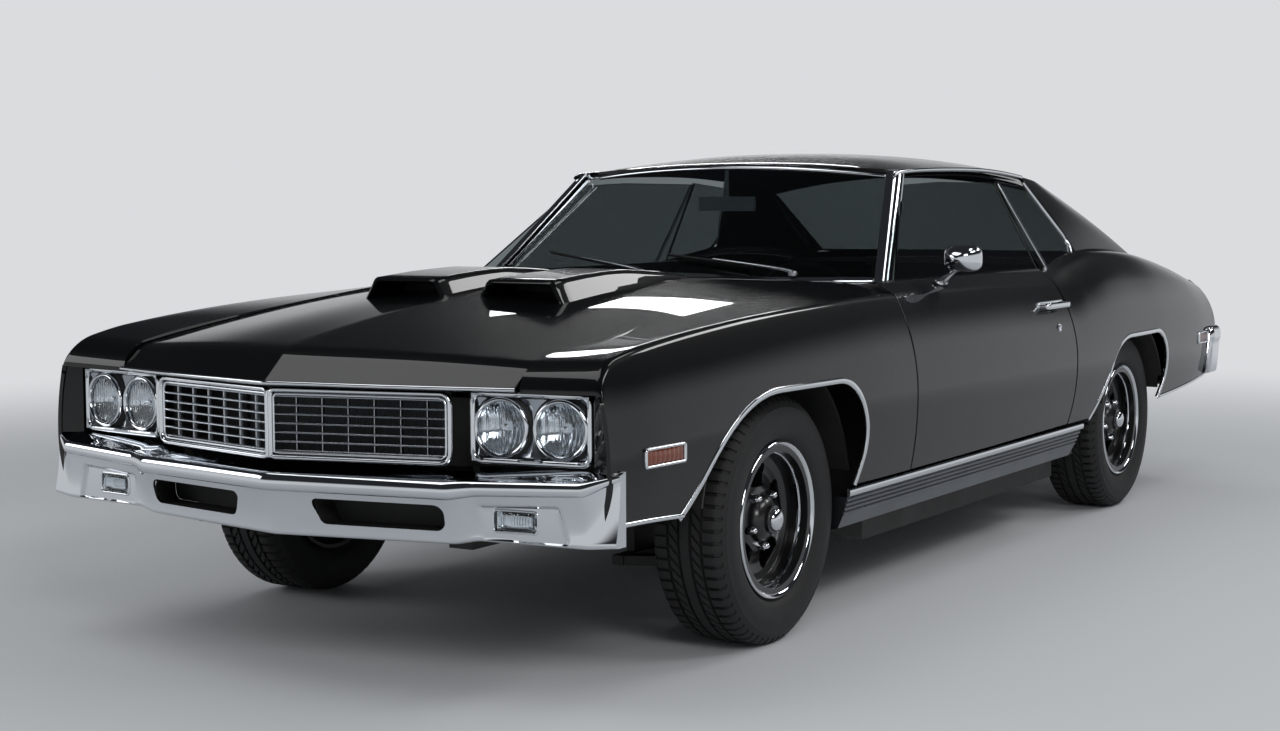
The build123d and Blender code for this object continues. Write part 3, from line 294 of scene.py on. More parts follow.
@dataclass
class Shell:
    """Points and faces of one piece, in millimetres."""
    points: list = field(default_factory=list)
    faces: list = field(default_factory=list)

    def grid(self, rows: Grid, wrap: bool = False, keep: Optional[Grid] = None) -> "Shell":
        """Adds a net of four-sided faces.

        Args:
            rows: Points as an array of rows, columns and coordinates.
            wrap: Whether the last column joins the first.
            keep: Which faces are kept, by row and column.

        Returns:
            This shell.
        """
        m, n, _ = rows.shape
        base = len(self.points)
        self.points.extend(map(tuple, rows.reshape(-1, 3)))
        for i in range(m - 1):
            for j in range(n if wrap else n - 1):
                if keep is None or keep[i, j]:
                    k = (j + 1) % n
                    self.faces.append((base + i * n + j, base + i * n + k, base + (i + 1) * n + k,
                            base + (i + 1) * n + j))
        return self

    def lid(self, ring: Grid) -> "Shell":
        """Adds one flat face over a ring of points."""
        base = len(self.points)
        self.points.extend(map(tuple, ring))
        self.faces.append(tuple(range(base, base + len(ring))))
        return self

    def join(self, *others: "Shell") -> "Shell":
        """Adds other shells to this one."""
        for other in others:
            base = len(self.points)
            self.points.extend(other.points)
            self.faces.extend(tuple(base + i for i in face) for face in other.faces)
        return self

    def moved(self, change: Callable[[Grid], Grid], flip: bool = False) -> "Shell":
        """Copy with changed points.

        Args:
            change: Function from points to points.
            flip: Whether the faces turn over.

        Returns:
            The new shell.
        """
        faces = [tuple(reversed(f)) for f in self.faces] if flip else list(self.faces)
        return Shell(list(map(tuple, change(np.array(self.points)))), faces)

    def right(self) -> "Shell":
        """Mirror image on the car's right side."""
        return self.moved(lambda p: p * (1, -1, 1), flip=True)

    def both(self) -> "Shell":
        """This left piece with its mirror image."""
        return Shell().join(self, self.right())

    def on(self, side: str) -> "Shell":
        """This left piece, or its mirror image for the right side."""
        return self if side == "left" else self.right()

    def turned_out(self, middle: Sequence[float] = CAR_MIDDLE) -> "Shell":
        """Turns all faces over if they mostly look towards a middle point.

        Args:
            middle: Point that the faces should look away from.

        Returns:
            This shell.
        """
        pts = np.array(self.points)
        total = 0.0
        for face in self.faces:
            corner = pts[list(face)]
            normal = np.cross(corner[2] - corner[0], corner[-1] - corner[1])
            total += float(normal @ (corner.mean(0) - middle))
        if total < 0:
            self.faces = [tuple(reversed(f)) for f in self.faces]
        return self


@dataclass(frozen=True)
class Hem:
    """Sheet thickness and edge rounding, in millimetres."""
    thick: float = 12.0
    edge: float = 2.5


def piece(name: str, shell: Shell, finish: Finish, body: str = "body", replaces: Sequence[str] = (),
        hem: Optional[Hem] = None, sharp: float = 38.0, weld: float = 0.0) -> bpy.types.Object:
    """Makes one shown piece that rides on a body.

    Args:
        name: Name of the piece.
        shell: Its mesh in millimetres.
        finish: Its material.
        body: Body that it moves with.
        replaces: Frame nodes that it stands for.
        hem: Thickness and edge of a sheet, or None for a closed mesh.
        sharp: Angle in degrees above which an edge is sharp.
        weld: Distance in millimetres below which points are joined.

    Returns:
        The Blender object.
    """
    mesh = bpy.data.meshes.new(name)
    mesh.from_pydata((np.array(shell.points) * MM).tolist(), [], shell.faces)
    mesh.validate()
    mesh.polygons.foreach_set("use_smooth", [True] * len(mesh.polygons))
    mesh.set_sharp_from_angle(angle=math.radians(sharp))
    mesh.materials.append(finish.material())
    made = bpy.data.objects.new(name, mesh)
    bpy.context.scene.collection.objects.link(made)
    if weld:
        made.modifiers.new("weld", "WELD").merge_threshold = weld * MM
    if hem:
        wall = made.modifiers.new("thickness", "SOLIDIFY")
        wall.thickness = hem.thick * MM
        wall.offset = -1.0
        edge = made.modifiers.new("edge", "BEVEL")
        edge.width = hem.edge * MM
        edge.segments = 2
        edge.limit_method = "ANGLE"
        edge.angle_limit = math.radians(50)
        edge.harden_normals = True
    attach(made, body)
    if replaces:
        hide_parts(*replaces)
    LOG.info("%s rides on %s with %d faces", name, body, len(shell.faces))
    return made


def even(path: Grid, count: int) -> Grid:
    """Spreads points evenly along a line of points.

    Args:
        path: Points in any number of coordinates.
        count: Number of points wanted.

    Returns:
        The even points.
    """
    path = np.asarray(path, float)
    along = np.concatenate([[0], np.cumsum(np.linalg.norm(np.diff(path, axis=0), axis=1))])
    want = np.linspace(0, along[-1], count)
    return np.stack([np.interp(want, along, path[:, k]) for k in range(path.shape[1])], 1)


def between(first: Grid, last: Grid, count: int) -> Grid:
    """Net of even steps from one line of points to another."""
    share = np.linspace(0, 1, count)[:, None, None]
    return first[None] * (1 - share) + last[None] * share


def points_of(x: Grid, y: Grid, z: Grid) -> Grid:
    """Points from their three coordinates, each a number or an array."""
    return np.stack(np.broadcast_arrays(x, y, z), -1)


def hood_rear(y: Grid) -> Grid:
    """Place along the car of the hood's rear edge, at distances from the middle."""
    return 846 - 38 * (y / 720)**2


def standing(flat: Grid, out: float = 0.0) -> Grid:
    """Flat points set at one place along the first axis."""
    return np.concatenate([np.full((len(flat), 1), out), flat], 1)


def rounded(corners: Corners, count: int, closed: bool = False) -> Grid:
    """Line through flat corner points with an arc at each.

    Args:
        corners: Two coordinates and an arc radius for each corner.
        count: Number of points wanted.
        closed: Whether the last corner joins the first.

    Returns:
        Even points along the line.
    """
    n = len(corners)
    line = []
    for i, (px, pz, radius) in enumerate(corners):
        here = np.array((px, pz))
        if radius <= 0 or (not closed and i in (0, n - 1)):
            line.append(here)
            continue
        back = np.array(corners[i - 1][:2]) - here
        on = np.array(corners[(i + 1) % n][:2]) - here
        back, on = back / np.linalg.norm(back), on / np.linalg.norm(on)
        half = math.acos(np.clip(back @ on, -1, 1)) / 2
        centre = here + (back + on) / np.linalg.norm(back + on) * radius / math.sin(half)
        first = here + back * radius / math.tan(half) - centre
        last = here + on * radius / math.tan(half) - centre
        sweep_angle = math.pi - 2 * half
        for t in np.linspace(0, 1, 14):
            line.append(centre + (math.sin((1 - t) * sweep_angle) * first + math.sin(t * sweep_angle)
                    * last) / math.sin(sweep_angle))
    if closed:
        line.append(line[0])
    return even(np.array(line), count)


def sweep(path: Grid, out: Grid, profile: Profile, closed: bool = False,
        scale: Optional[Grid] = None) -> Shell:
    """Pulls a flat closed profile along a path.

    Args:
        path: Points of the path.
        out: Outward direction, one for all points or one for each.
        profile: Points as sideways and outward offsets.
        closed: Whether the path's end joins its start.
        scale: Size of the profile at each path point.

    Returns:
        A closed shell.
    """
    path = np.asarray(path, float)
    out = np.broadcast_to(np.asarray(out, float), path.shape)
    if closed:
        ahead, behind = np.roll(path, -1, 0), np.roll(path, 1, 0)
        along = ahead - behind
    else:
        along = np.gradient(path, axis=0)
    along = along / np.linalg.norm(along, axis=1)[:, None]
    side = np.cross(along, out)
    side = side / np.linalg.norm(side, axis=1)[:, None]
    up = np.cross(side, along)
    size = np.ones(len(path)) if scale is None else np.asarray(scale, float)
    flat = np.array(profile, float)
    rows = (path[:, None] + side[:, None] * flat[None, :, :1] * size[:, None, None]
            + up[:, None] * flat[None, :, 1:] * size[:, None, None])
    if closed:
        return Shell().grid(np.concatenate([rows, rows[:1]]), wrap=True)
    made = Shell().grid(rows, wrap=True)
    return made.join(Shell().lid(rows[0][::-1]), Shell().lid(rows[-1]))


def half_round(width: float, height: float, count: int = 9) -> list[tuple[float, float]]:
    """Profile of a bright moulding: flat below, round above.

    Args:
        width: Width of the strip.
        height: Height of its crown.
        count: Points over the crown.

    Returns:
        Profile points for a sweep.
    """
    turn = np.linspace(0, math.pi, count)
    return [(width / 2 * math.cos(a), height * math.sin(a)) for a in turn] + [(-width / 2, -2.0),
            (width / 2, -2.0)]


def disc(radius: float, count: int = 16) -> list[tuple[float, float]]:
    """Round profile for a sweep."""
    return [(radius * math.cos(a), radius * math.sin(a)) for a in np.linspace(0, math.tau, count,
            endpoint=False)]


def lathe(profile: Profile, steps: int = 96) -> Shell:
    """Turns a line of radius and y about the y axis.

    Args:
        profile: Radius and y of each point.
        steps: Number of steps round the axis.

    Returns:
        An open shell of revolution.
    """
    turn = np.linspace(0, math.tau, steps, endpoint=False)
    rows = np.array([[(r * math.cos(a), y, r * math.sin(a)) for a in turn] for r, y in profile])
    return Shell().grid(rows, wrap=True)


def soften(ring: Grid, times: int = 3) -> Grid:
    """Cuts the corners of a closed ring so that it reads as round.

    Args:
        ring: Ring of points.
        times: Number of cuts.

    Returns:
        The rounder ring, with twice the points for each cut.
    """
    for _ in range(times):
        ahead = np.roll(ring, -1, 0)
        ring = np.stack([ring * 0.75 + ahead * 0.25, ring * 0.25 + ahead * 0.75], 1).reshape(-1, 3)
    return ring


def stack(rings: Sequence[Grid]) -> Shell:
    """Closed body through rings of equal point counts.

    Args:
        rings: Rings of points in order.

    Returns:
        The shell.
    """
    made = Shell().grid(np.array(rings), wrap=True)
    return made.join(Shell().lid(np.array(rings[0])[::-1]), Shell().lid(np.array(rings[-1])))


def inside(shape: Grid, pts: Grid) -> Grid:
    """Tests which flat points lie inside a closed outline.

    Args:
        shape: Outline points.
        pts: Points to test.

    Returns:
        One truth value for each point.
    """
    x, z = pts[..., 0], pts[..., 1]
    found = np.zeros(x.shape, bool)
    for (x0, z0), (x1, z1) in zip(shape, np.roll(shape, -1, 0)):
        if z0 == z1:
            continue
        crosses = ((z0 > z) != (z1 > z)) & (x < (x1 - x0) * (z - z0) / (z1 - z0) + x0)
        found ^= crosses
    return found


def snap_hole(flat: Grid, outline: Grid) -> tuple[Grid, Grid]:
    """Opens a hole in a net of flat points and draws its edge onto an outline.

    Args:
        flat: Net of points with two coordinates.
        outline: Closed outline of the hole.

    Returns:
        The changed net, and which of its faces are kept.
    """
    middle = (flat[:-1, :-1] + flat[1:, :-1] + flat[:-1, 1:] + flat[1:, 1:]) / 4
    keep = ~inside(outline, middle)
    count = np.zeros((2,) + flat.shape[:2], int)
    for which, mask in enumerate((keep, ~keep)):
        for di in (0, 1):
            for dj in (0, 1):
                count[which, di:di + mask.shape[0], dj:dj + mask.shape[1]] += mask
    edge = (count[0] > 0) & (count[1] > 0)
    dense = even(np.concatenate([outline, outline[:1]]), 1200)
    moved = flat.copy()
    for i, j in zip(*np.nonzero(edge)):
        moved[i, j] = dense[np.argmin(((dense - flat[i, j]) ** 2).sum(1))]
    return moved, keep


@dataclass(frozen=True)
class BodySide:
    """The painted body side from the nose to the tail, as smooth sections."""
    sections: Stations = Stations((
        (2400, 866, 430, 890, 560, 848, 806, 638, 800), (2186, 880, 425, 908, 585, 853, 845, 650, 834),
        (1728, 898, 400, 927, 605, 861, 882, 672, 880), (1138, 912, 391, 936, 612, 864, 902, 692, 926),
        (790, 916, 390, 938, 612, 862, 904, 703, 936), (100, 913, 390, 939.8, 612, 857, 898, 796, 938),
        (-590, 905, 390, 940, 612, 850, 888, 788, 932), (-800, 905, 390, 940, 615, 843, 925, 775, 962),
        (-1045, 904, 390, 939, 618, 834, 962, 760, 988), (-1335, 903, 390, 937, 620, 824, 966, 745, 990),
        (-1700, 900, 395, 932, 620, 815, 944, 725, 968), (-2150, 890, 415, 915, 620, 800, 886, 700, 905),
        (-2480, 872, 440, 890, 620, 782, 826, 690, 840)))
    crease: Stations = Stations(((2400, 16), (700, 13), (-560, 14), (-900, 70), (-1500, 80), (-2200, 50),
            (-2480, 30)))
    nose_start: float = 2310.0
    nose_drop: float = 64.0
    nose_run: float = 92.0

    def nose(self, x: Grid) -> Grid:
        """Height lost where the fender rolls over at the nose."""
        t = np.clip((np.asarray(x, float) - self.nose_start) / self.nose_run, 0, 1)
        return self.nose_drop * (1 - np.sqrt(np.maximum(1 - t**2.2, 0)))

    def skin_y(self, x: Grid, z: Grid) -> Grid:
        """Distance of the side skin from the middle of the car.

        Args:
            x: Places along the car.
            z: Heights.

        Returns:
            The y of each point.
        """
        shape = np.broadcast(x, z).shape
        x, z = (np.broadcast_to(v, shape).astype(float).ravel() for v in (x, z))
        y_low, z_low, y_wide, z_wide, y_edge, z_edge = self.sections.at(x).T[:6]
        below = z < z_wide
        run = y_wide - np.where(below, y_low, y_edge)
        rise = np.where(below, z_low, z_edge) - z_wide
        radius = (run**2 + rise**2) / (2 * run)
        return (y_wide - radius + np.sqrt(np.maximum(radius**2 - (z - z_wide)**2, 0))).reshape(shape)

    def net(self, xs: Grid, rows: int = 34, shelf: int = 7, inner: Optional[Grid] = None,
            outline: Optional[Grid] = None) -> Shell:
        """Left body skin between stations, with its top shelf and an arch.

        Args:
            xs: Stations along the car.
            rows: Rows up the side.
            shelf: Rows over the top.
            inner: Points of the shelf's inner edge, or None for the table's.
            outline: Wheel arch outline in x and z, or None.

        Returns:
            An open shell.
        """
        cols = self.sections.at(xs).T
        drop = self.nose(xs)
        size = self.crease.at(xs).T[0]
        edge = np.stack([cols[4], cols[5] - drop], 1)
        edge[:, 0] = self.skin_y(xs, edge[:, 1])
        top = np.stack([cols[6], cols[7] - drop], 1) if inner is None else inner[:, 1:]
        low_z = cols[1]
        start_z = edge[:, 1] - size
        part = np.linspace(0, 1, rows)[None, :]
        side_z = low_z[:, None] + (start_z - low_z)[:, None] * part
        flat = np.stack([np.broadcast_to(xs[:, None], side_z.shape), side_z], 2)
        keep = None
        if outline is not None:
            flat, keep = snap_hole(flat, outline)
        side = points_of(flat[..., 0], self.skin_y(flat[..., 0], flat[..., 1]), flat[..., 1])
        start = np.stack([self.skin_y(xs, start_z), start_z], 1)
        away = top - edge
        reach = np.minimum(size / np.linalg.norm(away, axis=1), 0.45)
        end = edge + away * reach[:, None]
        t = np.linspace(0, 1, 9)[None, 1:, None]
        turn = (1 - t)**2 * start[:, None] + 2 * t * (1 - t) * edge[:, None] + t**2 * end[:, None]
        t = np.linspace(0, 1, shelf)[None, 1:, None]
        over = end[:, None] * (1 - t) + top[:, None] * t
        cap = np.concatenate([turn, over], 1)
        x_inner = xs if inner is None else inner[:, 0]
        slide = np.concatenate([np.zeros(8), np.linspace(0, 1, shelf)[1:]])[None, :]
        cap = np.concatenate([(xs[:, None] * (1 - slide) + x_inner[:, None] * slide)[..., None], cap], 2)
        rows_all = np.concatenate([side, cap], 1)
        if keep is not None:
            keep = np.concatenate([keep, np.ones((len(xs) - 1, cap.shape[1]), bool)], 1)
        return Shell().grid(rows_all, keep=keep).turned_out((xs.mean(), 500.0, 600.0))


@dataclass(frozen=True)
class Arch:
    """One wheel arch outline: corners beside the axle with their radii."""
    axle_x: float
    corners: tuple[Place, ...]

    def line(self, count: int = 160) -> Grid:
        """Points in x and z from the front foot to the rear foot."""
        return rounded([(self.axle_x + dx, z, r) for dx, z, r in self.corners], count)

    def outline(self) -> Grid:
        """Closed outline that reaches below the body."""
        line = self.line()
        return np.concatenate([[[line[0, 0] + 40, 200]], line, [[line[-1, 0], 200]]])


FRONT_ARCH = Arch(FRONT_AXLE_X, ((600, 380, 0), (346, 697, 480), (-467, 690, 170), (-330, 330, 0)))
REAR_ARCH = Arch(REAR_AXLE_X, ((560, 330, 0), (261, 668, 280), (-414, 668, 155), (-300, 360, 0)))
SIDE = BodySide()


@dataclass
class SidePanels:
    """Front fenders, doors and quarter panels with their mouldings."""
    door_front_x: float = 790.0
    door_rear_x: float = -590.0
    gap: float = 8.0
    nose_x: float = 2402.0
    tail_x: float = -2480.0
    step: float = 16.0

    def stations(self, start: float, end: float) -> Grid:
        """Even stations between two ends."""
        return np.linspace(start, end, int(abs(end - start) / self.step) + 2)

    def build(self) -> None:
        """Makes the painted sides and their bright strips."""
        xs = np.concatenate([self.stations(self.door_front_x, 2300.0), self.nose_x - 102.0
                * (1 - np.linspace(0, 1, 22)[1:]) ** 1.6])
        fender = SIDE.net(xs, outline=FRONT_ARCH.outline())
        piece("fender_skins", fender.both(), PAINT, "body", ["front_fenders"], Hem())
        piece("fender_nose_returns", self.nose_return().both(), PAINT)
        quarter = SIDE.net(self.stations(self.door_rear_x - self.gap, self.tail_x),
                outline=REAR_ARCH.outline())
        piece("quarter_skins", quarter.both(), PAINT, "body", ["quarter_panels"], Hem())
        door_x = self.stations(self.door_front_x - self.gap, self.door_rear_x)
        shelf = points_of(door_x, 796 - (100 - door_x) * 0.0116, 937.0)
        skin = SIDE.net(door_x, inner=shelf)
        core = self.door_core()
        for side in SIDES:
            piece("door_skin_" + side, skin.on(side), PAINT, "door_" + side, ["door_" + side],
                    Hem(thick=16.0))
            piece("door_core_" + side, core.on(side), VINYL, "door_" + side)
        for name, arch in (("front", FRONT_ARCH), ("rear", REAR_ARCH)):
            piece(name + "_arch_mouldings", self.arch_strip(arch).both(), CHROME)

    def door_core(self) -> Shell:
        """Inner body of the left door, behind its hinge pocket."""
        rings = []
        for x in self.stations(676.0, self.door_rear_x + 3):
            low = self.lower_edge(x)
            z = np.linspace(low + 4, 872, 9)
            skin = np.stack([SIDE.skin_y(np.full(9, x), z) - 15.5, z], 1)
            flat = np.concatenate([[(772, 935), (756, 937), (752, 930), (752, 600), (772, low + 4)], skin,
                    [(800, 926), (796, 935)]])
            rings.append(standing(flat, x))
        return stack(rings).turned_out((50.0, 820.0, 650.0))

    def lower_edge(self, x: float) -> float:
        """Height of the body side's lower edge."""
        return float(SIDE.sections.at(x)[0][1])

    def nose_return(self) -> Shell:
        """Narrow face from the fender's front edge in to the lamp bezel."""
        z = np.linspace(560, 744, 14)
        x = np.full(len(z), self.nose_x)
        outer = points_of(x, SIDE.skin_y(x, z), z)
        inner = points_of(x - 32, 824.0, z)
        back = inner - (40, 0, 0)
        return Shell().grid(np.stack([outer, inner, back], 1)).turned_out((2200.0, 700.0, 650.0))

    def arch_strip(self, arch: Arch) -> Shell:
        """Bright moulding round a wheel arch.

        Args:
            arch: The arch that it follows.

        Returns:
            A closed shell for the left side.
        """
        line = arch.line()
        low = SIDE.sections.at(line[:, 0]).T[1]
        line = even(line[line[:, 1] >= low - 6], 140)
        y = np.minimum(SIDE.skin_y(line[:, 0], np.maximum(line[:, 1], 380.0)), 935.0)
        path = points_of(line[:, 0], y, line[:, 1])
        return sweep(path, (0, 1, 0), half_round(17, 3.6)).turned_out((arch.axle_x, 700.0, 500.0))


@dataclass
class Hood:
    """Hood with a middle ridge, rolled front face and two scoops."""
    rows: Stations = Stations(((0, 2567, 748, 2478, 826, 1700, 930, 962),
            (330, 2495, 747, 2408, 818, 1690, 916, 954), (660, 2405, 746, 2330, 802, 1680, 880, 937),
            (720, 2385, 746, 2312, 798, 1680, 872, 933)))
    edge_y: Stations = Stations(((700, 695), (1138, 686), (1728, 666), (2186, 644), (2420, 630)))
    rear_x: float = 800.0
    across: int = 41
    face_rows: int = 9
    top_rows: int = 64

    def profile(self, y: float) -> Grid:
        """Side view of the hood at one distance from the middle.

        Args:
            y: Distance from the middle of the car.

        Returns:
            Points in x and z from the front lip to the rear edge.
        """
        x_lip, z_lip, x_face, z_face, x_mid, z_mid, z_rear = self.rows.at(abs(y))[0]
        xs = np.array((x_face, x_mid, self.rear_x))
        curve = np.polyfit(xs, (z_face, z_mid, z_rear), 2)
        rear = hood_rear(y)
        face = np.array((x_face, z_face))
        lip = np.array((x_lip, z_lip))
        tip = face + (lip - face) / np.linalg.norm(lip - face) * 30
        back = np.array((x_face - 34, np.polyval(curve, x_face - 34)))
        t = np.linspace(0, 1, 9)[:, None]
        bend = (1 - t)**2 * tip + 2 * t * (1 - t) * face + t**2 * back
        front = np.linspace(0, 1, self.face_rows)[:, None] * (tip - lip) + lip
        top_x = np.linspace(back[0], rear, self.top_rows)
        top = np.stack([top_x, np.polyval(curve, top_x)], 1)
        return np.concatenate([front[:-1], bend, top[1:]])

    def surface_z(self, x: float, y: float) -> float:
        """Height of the hood's top at a place."""
        line = self.profile(y)[self.face_rows:]
        return float(np.interp(-x, -line[:, 0], line[:, 1]))

    def net(self) -> Grid:
        """Points of the whole top skin."""
        share = np.linspace(-1, 1, self.across)
        rows = []
        for v in share:
            y = np.full(self.face_rows + self.top_rows + 7, v * 640.0)
            for _ in range(3):
                line = np.array([self.profile(p)[k] for k, p in enumerate(y)])
                y = v * self.edge_y.at(line[:, 0]).T[0]
            rows.append(points_of(line[:, 0], y, line[:, 1]))
        return np.array(rows)

    def build(self) -> None:
        """Makes the hood skin and its scoops."""
        skin = Shell().grid(self.net()).turned_out((1500.0, 0.0, 300.0))
        piece("hood_skin", skin, PAINT, "hood", ["hood"], Hem(thick=14.0), sharp=8.0)
        piece("hood_scoops", self.scoop().both(), PAINT, "hood")
        y = np.linspace(-634, 634, 81)
        lip = self.rows.at(np.abs(y))
        path = points_of(lip[:, 0] + 1, y, lip[:, 1] - 1)
        piece("hood_lip_moulding", sweep(path, (1, 0, -0.2), half_round(10, 5)).turned_out((2300, 0, 750)),
                CHROME, "hood")
        # The black sheet inside each scoop is painted shade, where the open mouth would be dark.
        piece("scoop_mouth_shade", self.mouth().both(), SEAL_AND_SHADE, "hood")

    def ring(self, x: float, inset: float, rise: float) -> Grid:
        """Section of the left scoop.

        Args:
            x: Place along the car.
            inset: Distance in from the outer form.
            rise: Height of the top above the hood.

        Returns:
            Ring points.
        """
        y_in, y_out = np.interp(x, (1060, 1400, 1760), (80, 60, 50)), np.interp(x, (1060, 1400, 1760),
                (320, 335, 340))
        low = self.surface_z(x, (y_in + y_out) / 2) - 14
        high = self.surface_z(x, (y_in + y_out) / 2) + rise - inset
        slope = min(36.0, max(rise, 4.0) * 0.8)
        flat = rounded([(y_in + inset, low, 1), (y_out - inset, low, 1), (y_out - slope - inset, high, 16),
                (y_in + slope + inset, high, 16)], 61, closed=True)[:-1]
        return standing(flat, x)

    def scoop(self) -> Shell:
        """Left scoop as a shell with a rounded mouth lip."""
        xs = (1060, 1120, 1200, 1300, 1400, 1500, 1600, 1700, 1752)
        rise = np.interp(xs, (1060, 1200, 1400, 1600, 1760), (1, 24, 44, 50, 52))
        rings = [self.ring(x, 0.0, h) for x, h in zip(xs, rise)]
        lip = [self.ring(1760, 4.0, 52), self.ring(1763, 9.0, 52), self.ring(1758, 14.0, 52),
                self.ring(1600, 15.0, 50)]
        return stack(rings + lip)

    def mouth(self) -> Shell:
        """Black sheet deep inside the left scoop, as painted shade of the open mouth."""
        return Shell().lid(self.ring(1610, 13.0, 50))


@dataclass
class Roof:
    """Roof skin, sail panels and windshield pillars."""
    rows: Stations = Stations(((262, 604, 1256, 1289), (205, 612, 1272, 1306), (-100, 622, 1284, 1339),
            (-550, 622, 1282, 1343), (-1000, 610, 1250, 1322), (-1185, 592, 1222, 1292)))
    across: int = 41

    def point(self, x: Grid, v: Grid) -> Grid:
        """Roof surface at places along and across the car."""
        y_rail, z_rail, z_crown = self.rows.at(x).T
        return points_of(x, v * y_rail, z_rail + (z_crown - z_rail) * (1 - np.abs(v) ** 2.3))

    def build(self) -> None:
        """Makes the painted roof, the sail panels and the bright pillars."""
        share = np.linspace(-1, 1, self.across)
        rows = []
        for v in share:
            front = 256 - 66 * v**2
            rear = -1206 + 42 * v**2
            rows.append(self.point(np.linspace(front, rear, 90), np.full(90, v)))
        piece("roof_skin", Shell().grid(np.array(rows)).turned_out((0, 0, 900)), PAINT, "body", ["roof"],
                Hem())
        sail = Shell().grid(self.sail()).turned_out((-1200.0, 0.0, 900.0))
        piece("sail_panels", sail.both(), PAINT, hem=Hem())
        piece("windshield_pillars", self.pillar().both(), CHROME)

    def sail(self) -> Grid:
        """Net of the left sail panel, bowed between the roof and the quarter panel."""
        t = np.linspace(0, 1, 40)
        x_top = -868 - 300 * t
        top = self.point(x_top, np.ones(40))
        x_low = -1046 - 780 * t
        cols = SIDE.sections.at(x_low).T
        low = points_of(x_low, cols[6] + 6, cols[7] - 4)
        flat = between(top, low, 30)
        flat[..., 1] += np.sin(np.linspace(0, 1, 30) * math.pi)[:, None] * 12
        return flat

    def pillar(self) -> Shell:
        """Left windshield pillar with its bright cover."""
        foot = np.array([(600, 702, 930), (606, 720, 930), (596, 742, 930), (560, 748, 930),
                (524, 744, 930), (520, 704, 930)])
        head = np.array([(226, 570, 1276), (229, 590, 1275), (218, 612, 1270), (190, 618, 1272),
                (152, 612, 1276), (148, 570, 1282)])
        return stack([soften(foot * (1 - t) + head * t) for t in np.linspace(0, 1, 14)])


@dataclass
class Windows:
    """Glass of the car with its bright surrounds."""
    glass: float = 5.0

    def bowed(self, top: Sequence[tuple], low: Sequence[tuple], count: int = 40) -> Grid:
        """Glass surface between two bowed edges.

        Args:
            top: End and middle of the upper edge.
            low: End and middle of the lower edge.
            count: Points across.

        Returns:
            Net of points from the upper to the lower edge.
        """
        v = np.linspace(-1, 1, count)[:, None]
        lines = []
        for end, mid in (top, low):
            end, mid = np.array(end, float), np.array(mid, float)
            line = mid + (end - mid) * v**2
            line[:, 1] = end[1] * v[:, 0]
            lines.append(line)
        return between(*lines, 24)

    def build(self) -> None:
        """Makes the bowed glass, its surrounds and the panels beside the rear window."""
        front = self.bowed(((188, 580, 1258), (252, 0, 1292)), ((560, 706, 936), (775, 0, 936)))
        rear = self.bowed(((-1160, 560, 1206), (-1200, 0, 1272)), ((-1800, 655, 958), (-1850, 0, 958)))
        for name, net, node in (("windshield_glass", front, "windshield"),
                ("rear_glass", rear, "rear_window")):
            shell = Shell().grid(net).turned_out((-300.0, 0.0, 900.0))
            piece(name, shell, GLASS, "body", [node], Hem(thick=self.glass, edge=1.0))
        for name, net in (("windshield", front), ("rear_window", rear)):
            ring = np.concatenate([net[0], net[1:-1, -1], net[-1, ::-1], net[-2:0:-1, 0]])
            out = np.array((0.7, 0, 0.7)) if name == "windshield" else np.array((-0.45, 0, 0.9))
            piece(name + "_moulding", sweep(ring, out, half_round(22, 6), closed=True), CHROME)
        sail_edge = Roof().sail()[:, -1]
        glass_edge = even(rear[:, -1], len(sail_edge))
        side = Shell().grid(between(glass_edge, sail_edge, 8)).turned_out((-1200.0, 0.0, 700.0))
        piece("rear_window_sides", side.both(), PAINT, hem=Hem(6.0, 1.0))


@dataclass
class Deck:
    """Deck lid with its seal, and the strip ahead of it."""
    rows: Stations = Stations(((-1902, 704, 939, 953), (-2200, 691, 893, 910), (-2480, 683, 836, 852)))

    def build(self) -> None:
        """Makes the painted rear deck and the seal below the lid."""
        v = np.linspace(-1, 1, 41)
        xs = np.linspace(-1902, -2480, 44)
        cols = self.rows.at(xs).T
        net = points_of(xs[:, None], cols[0][:, None] * v, cols[1][:, None] + (cols[2] - cols[1])[:, None]
            * (1 - v**2))
        piece("deck_lid_skin", Shell().grid(net).turned_out(), PAINT, "deck_lid", ["deck_lid"],
                Hem(30.0, 5.0))
        strip_x = np.linspace(-1790, -1884, 10)
        z_end = np.interp(-strip_x, (1780, 1891), (948, 939))
        y_end = np.interp(-strip_x, (1780, 1891), (712, 704))
        net = points_of(strip_x[:, None], y_end[:, None] * v, z_end[:, None] + 1.5 + 14 * (1 - v**2))
        piece("deck_strip_skin", Shell().grid(net).turned_out(), PAINT, hem=Hem())
        seat = points_of(-2466.0, 680 * v, 791 + 13 * (1 - v**2))
        piece("deck_lid_seal", sweep(seat, (-1, 0, 0), half_round(26, 8)), SEAL_AND_SHADE)


def facing(shell: Shell, centre: Sequence[float], out: Sequence[float],
        up: Sequence[float] = (0, 0, 1)) -> Shell:
    """Sets a shell that was made as out, across and up at a place on the car.

    Args:
        shell: Shell with x out, y across and z up.
        centre: Place of its origin.
        out: Direction that it faces.
        up: Rough upward direction.

    Returns:
        The set shell.
    """
    front = np.array(out, float) / np.linalg.norm(out)
    across = np.cross(np.array(up, float), front)
    across = across / np.linalg.norm(across)
    basis = np.stack([front, across, np.cross(front, across)])
    return shell.moved(lambda p: p @ basis + np.array(centre, float))


def frame_corners(half_width: float, half_height: float, radius: float) -> list[Place]:
    """Corners of a rounded rectangle about its middle."""
    return [(-half_width, -half_height, radius), (half_width, -half_height, radius),
            (half_width, half_height, radius), (-half_width, half_height, radius)]


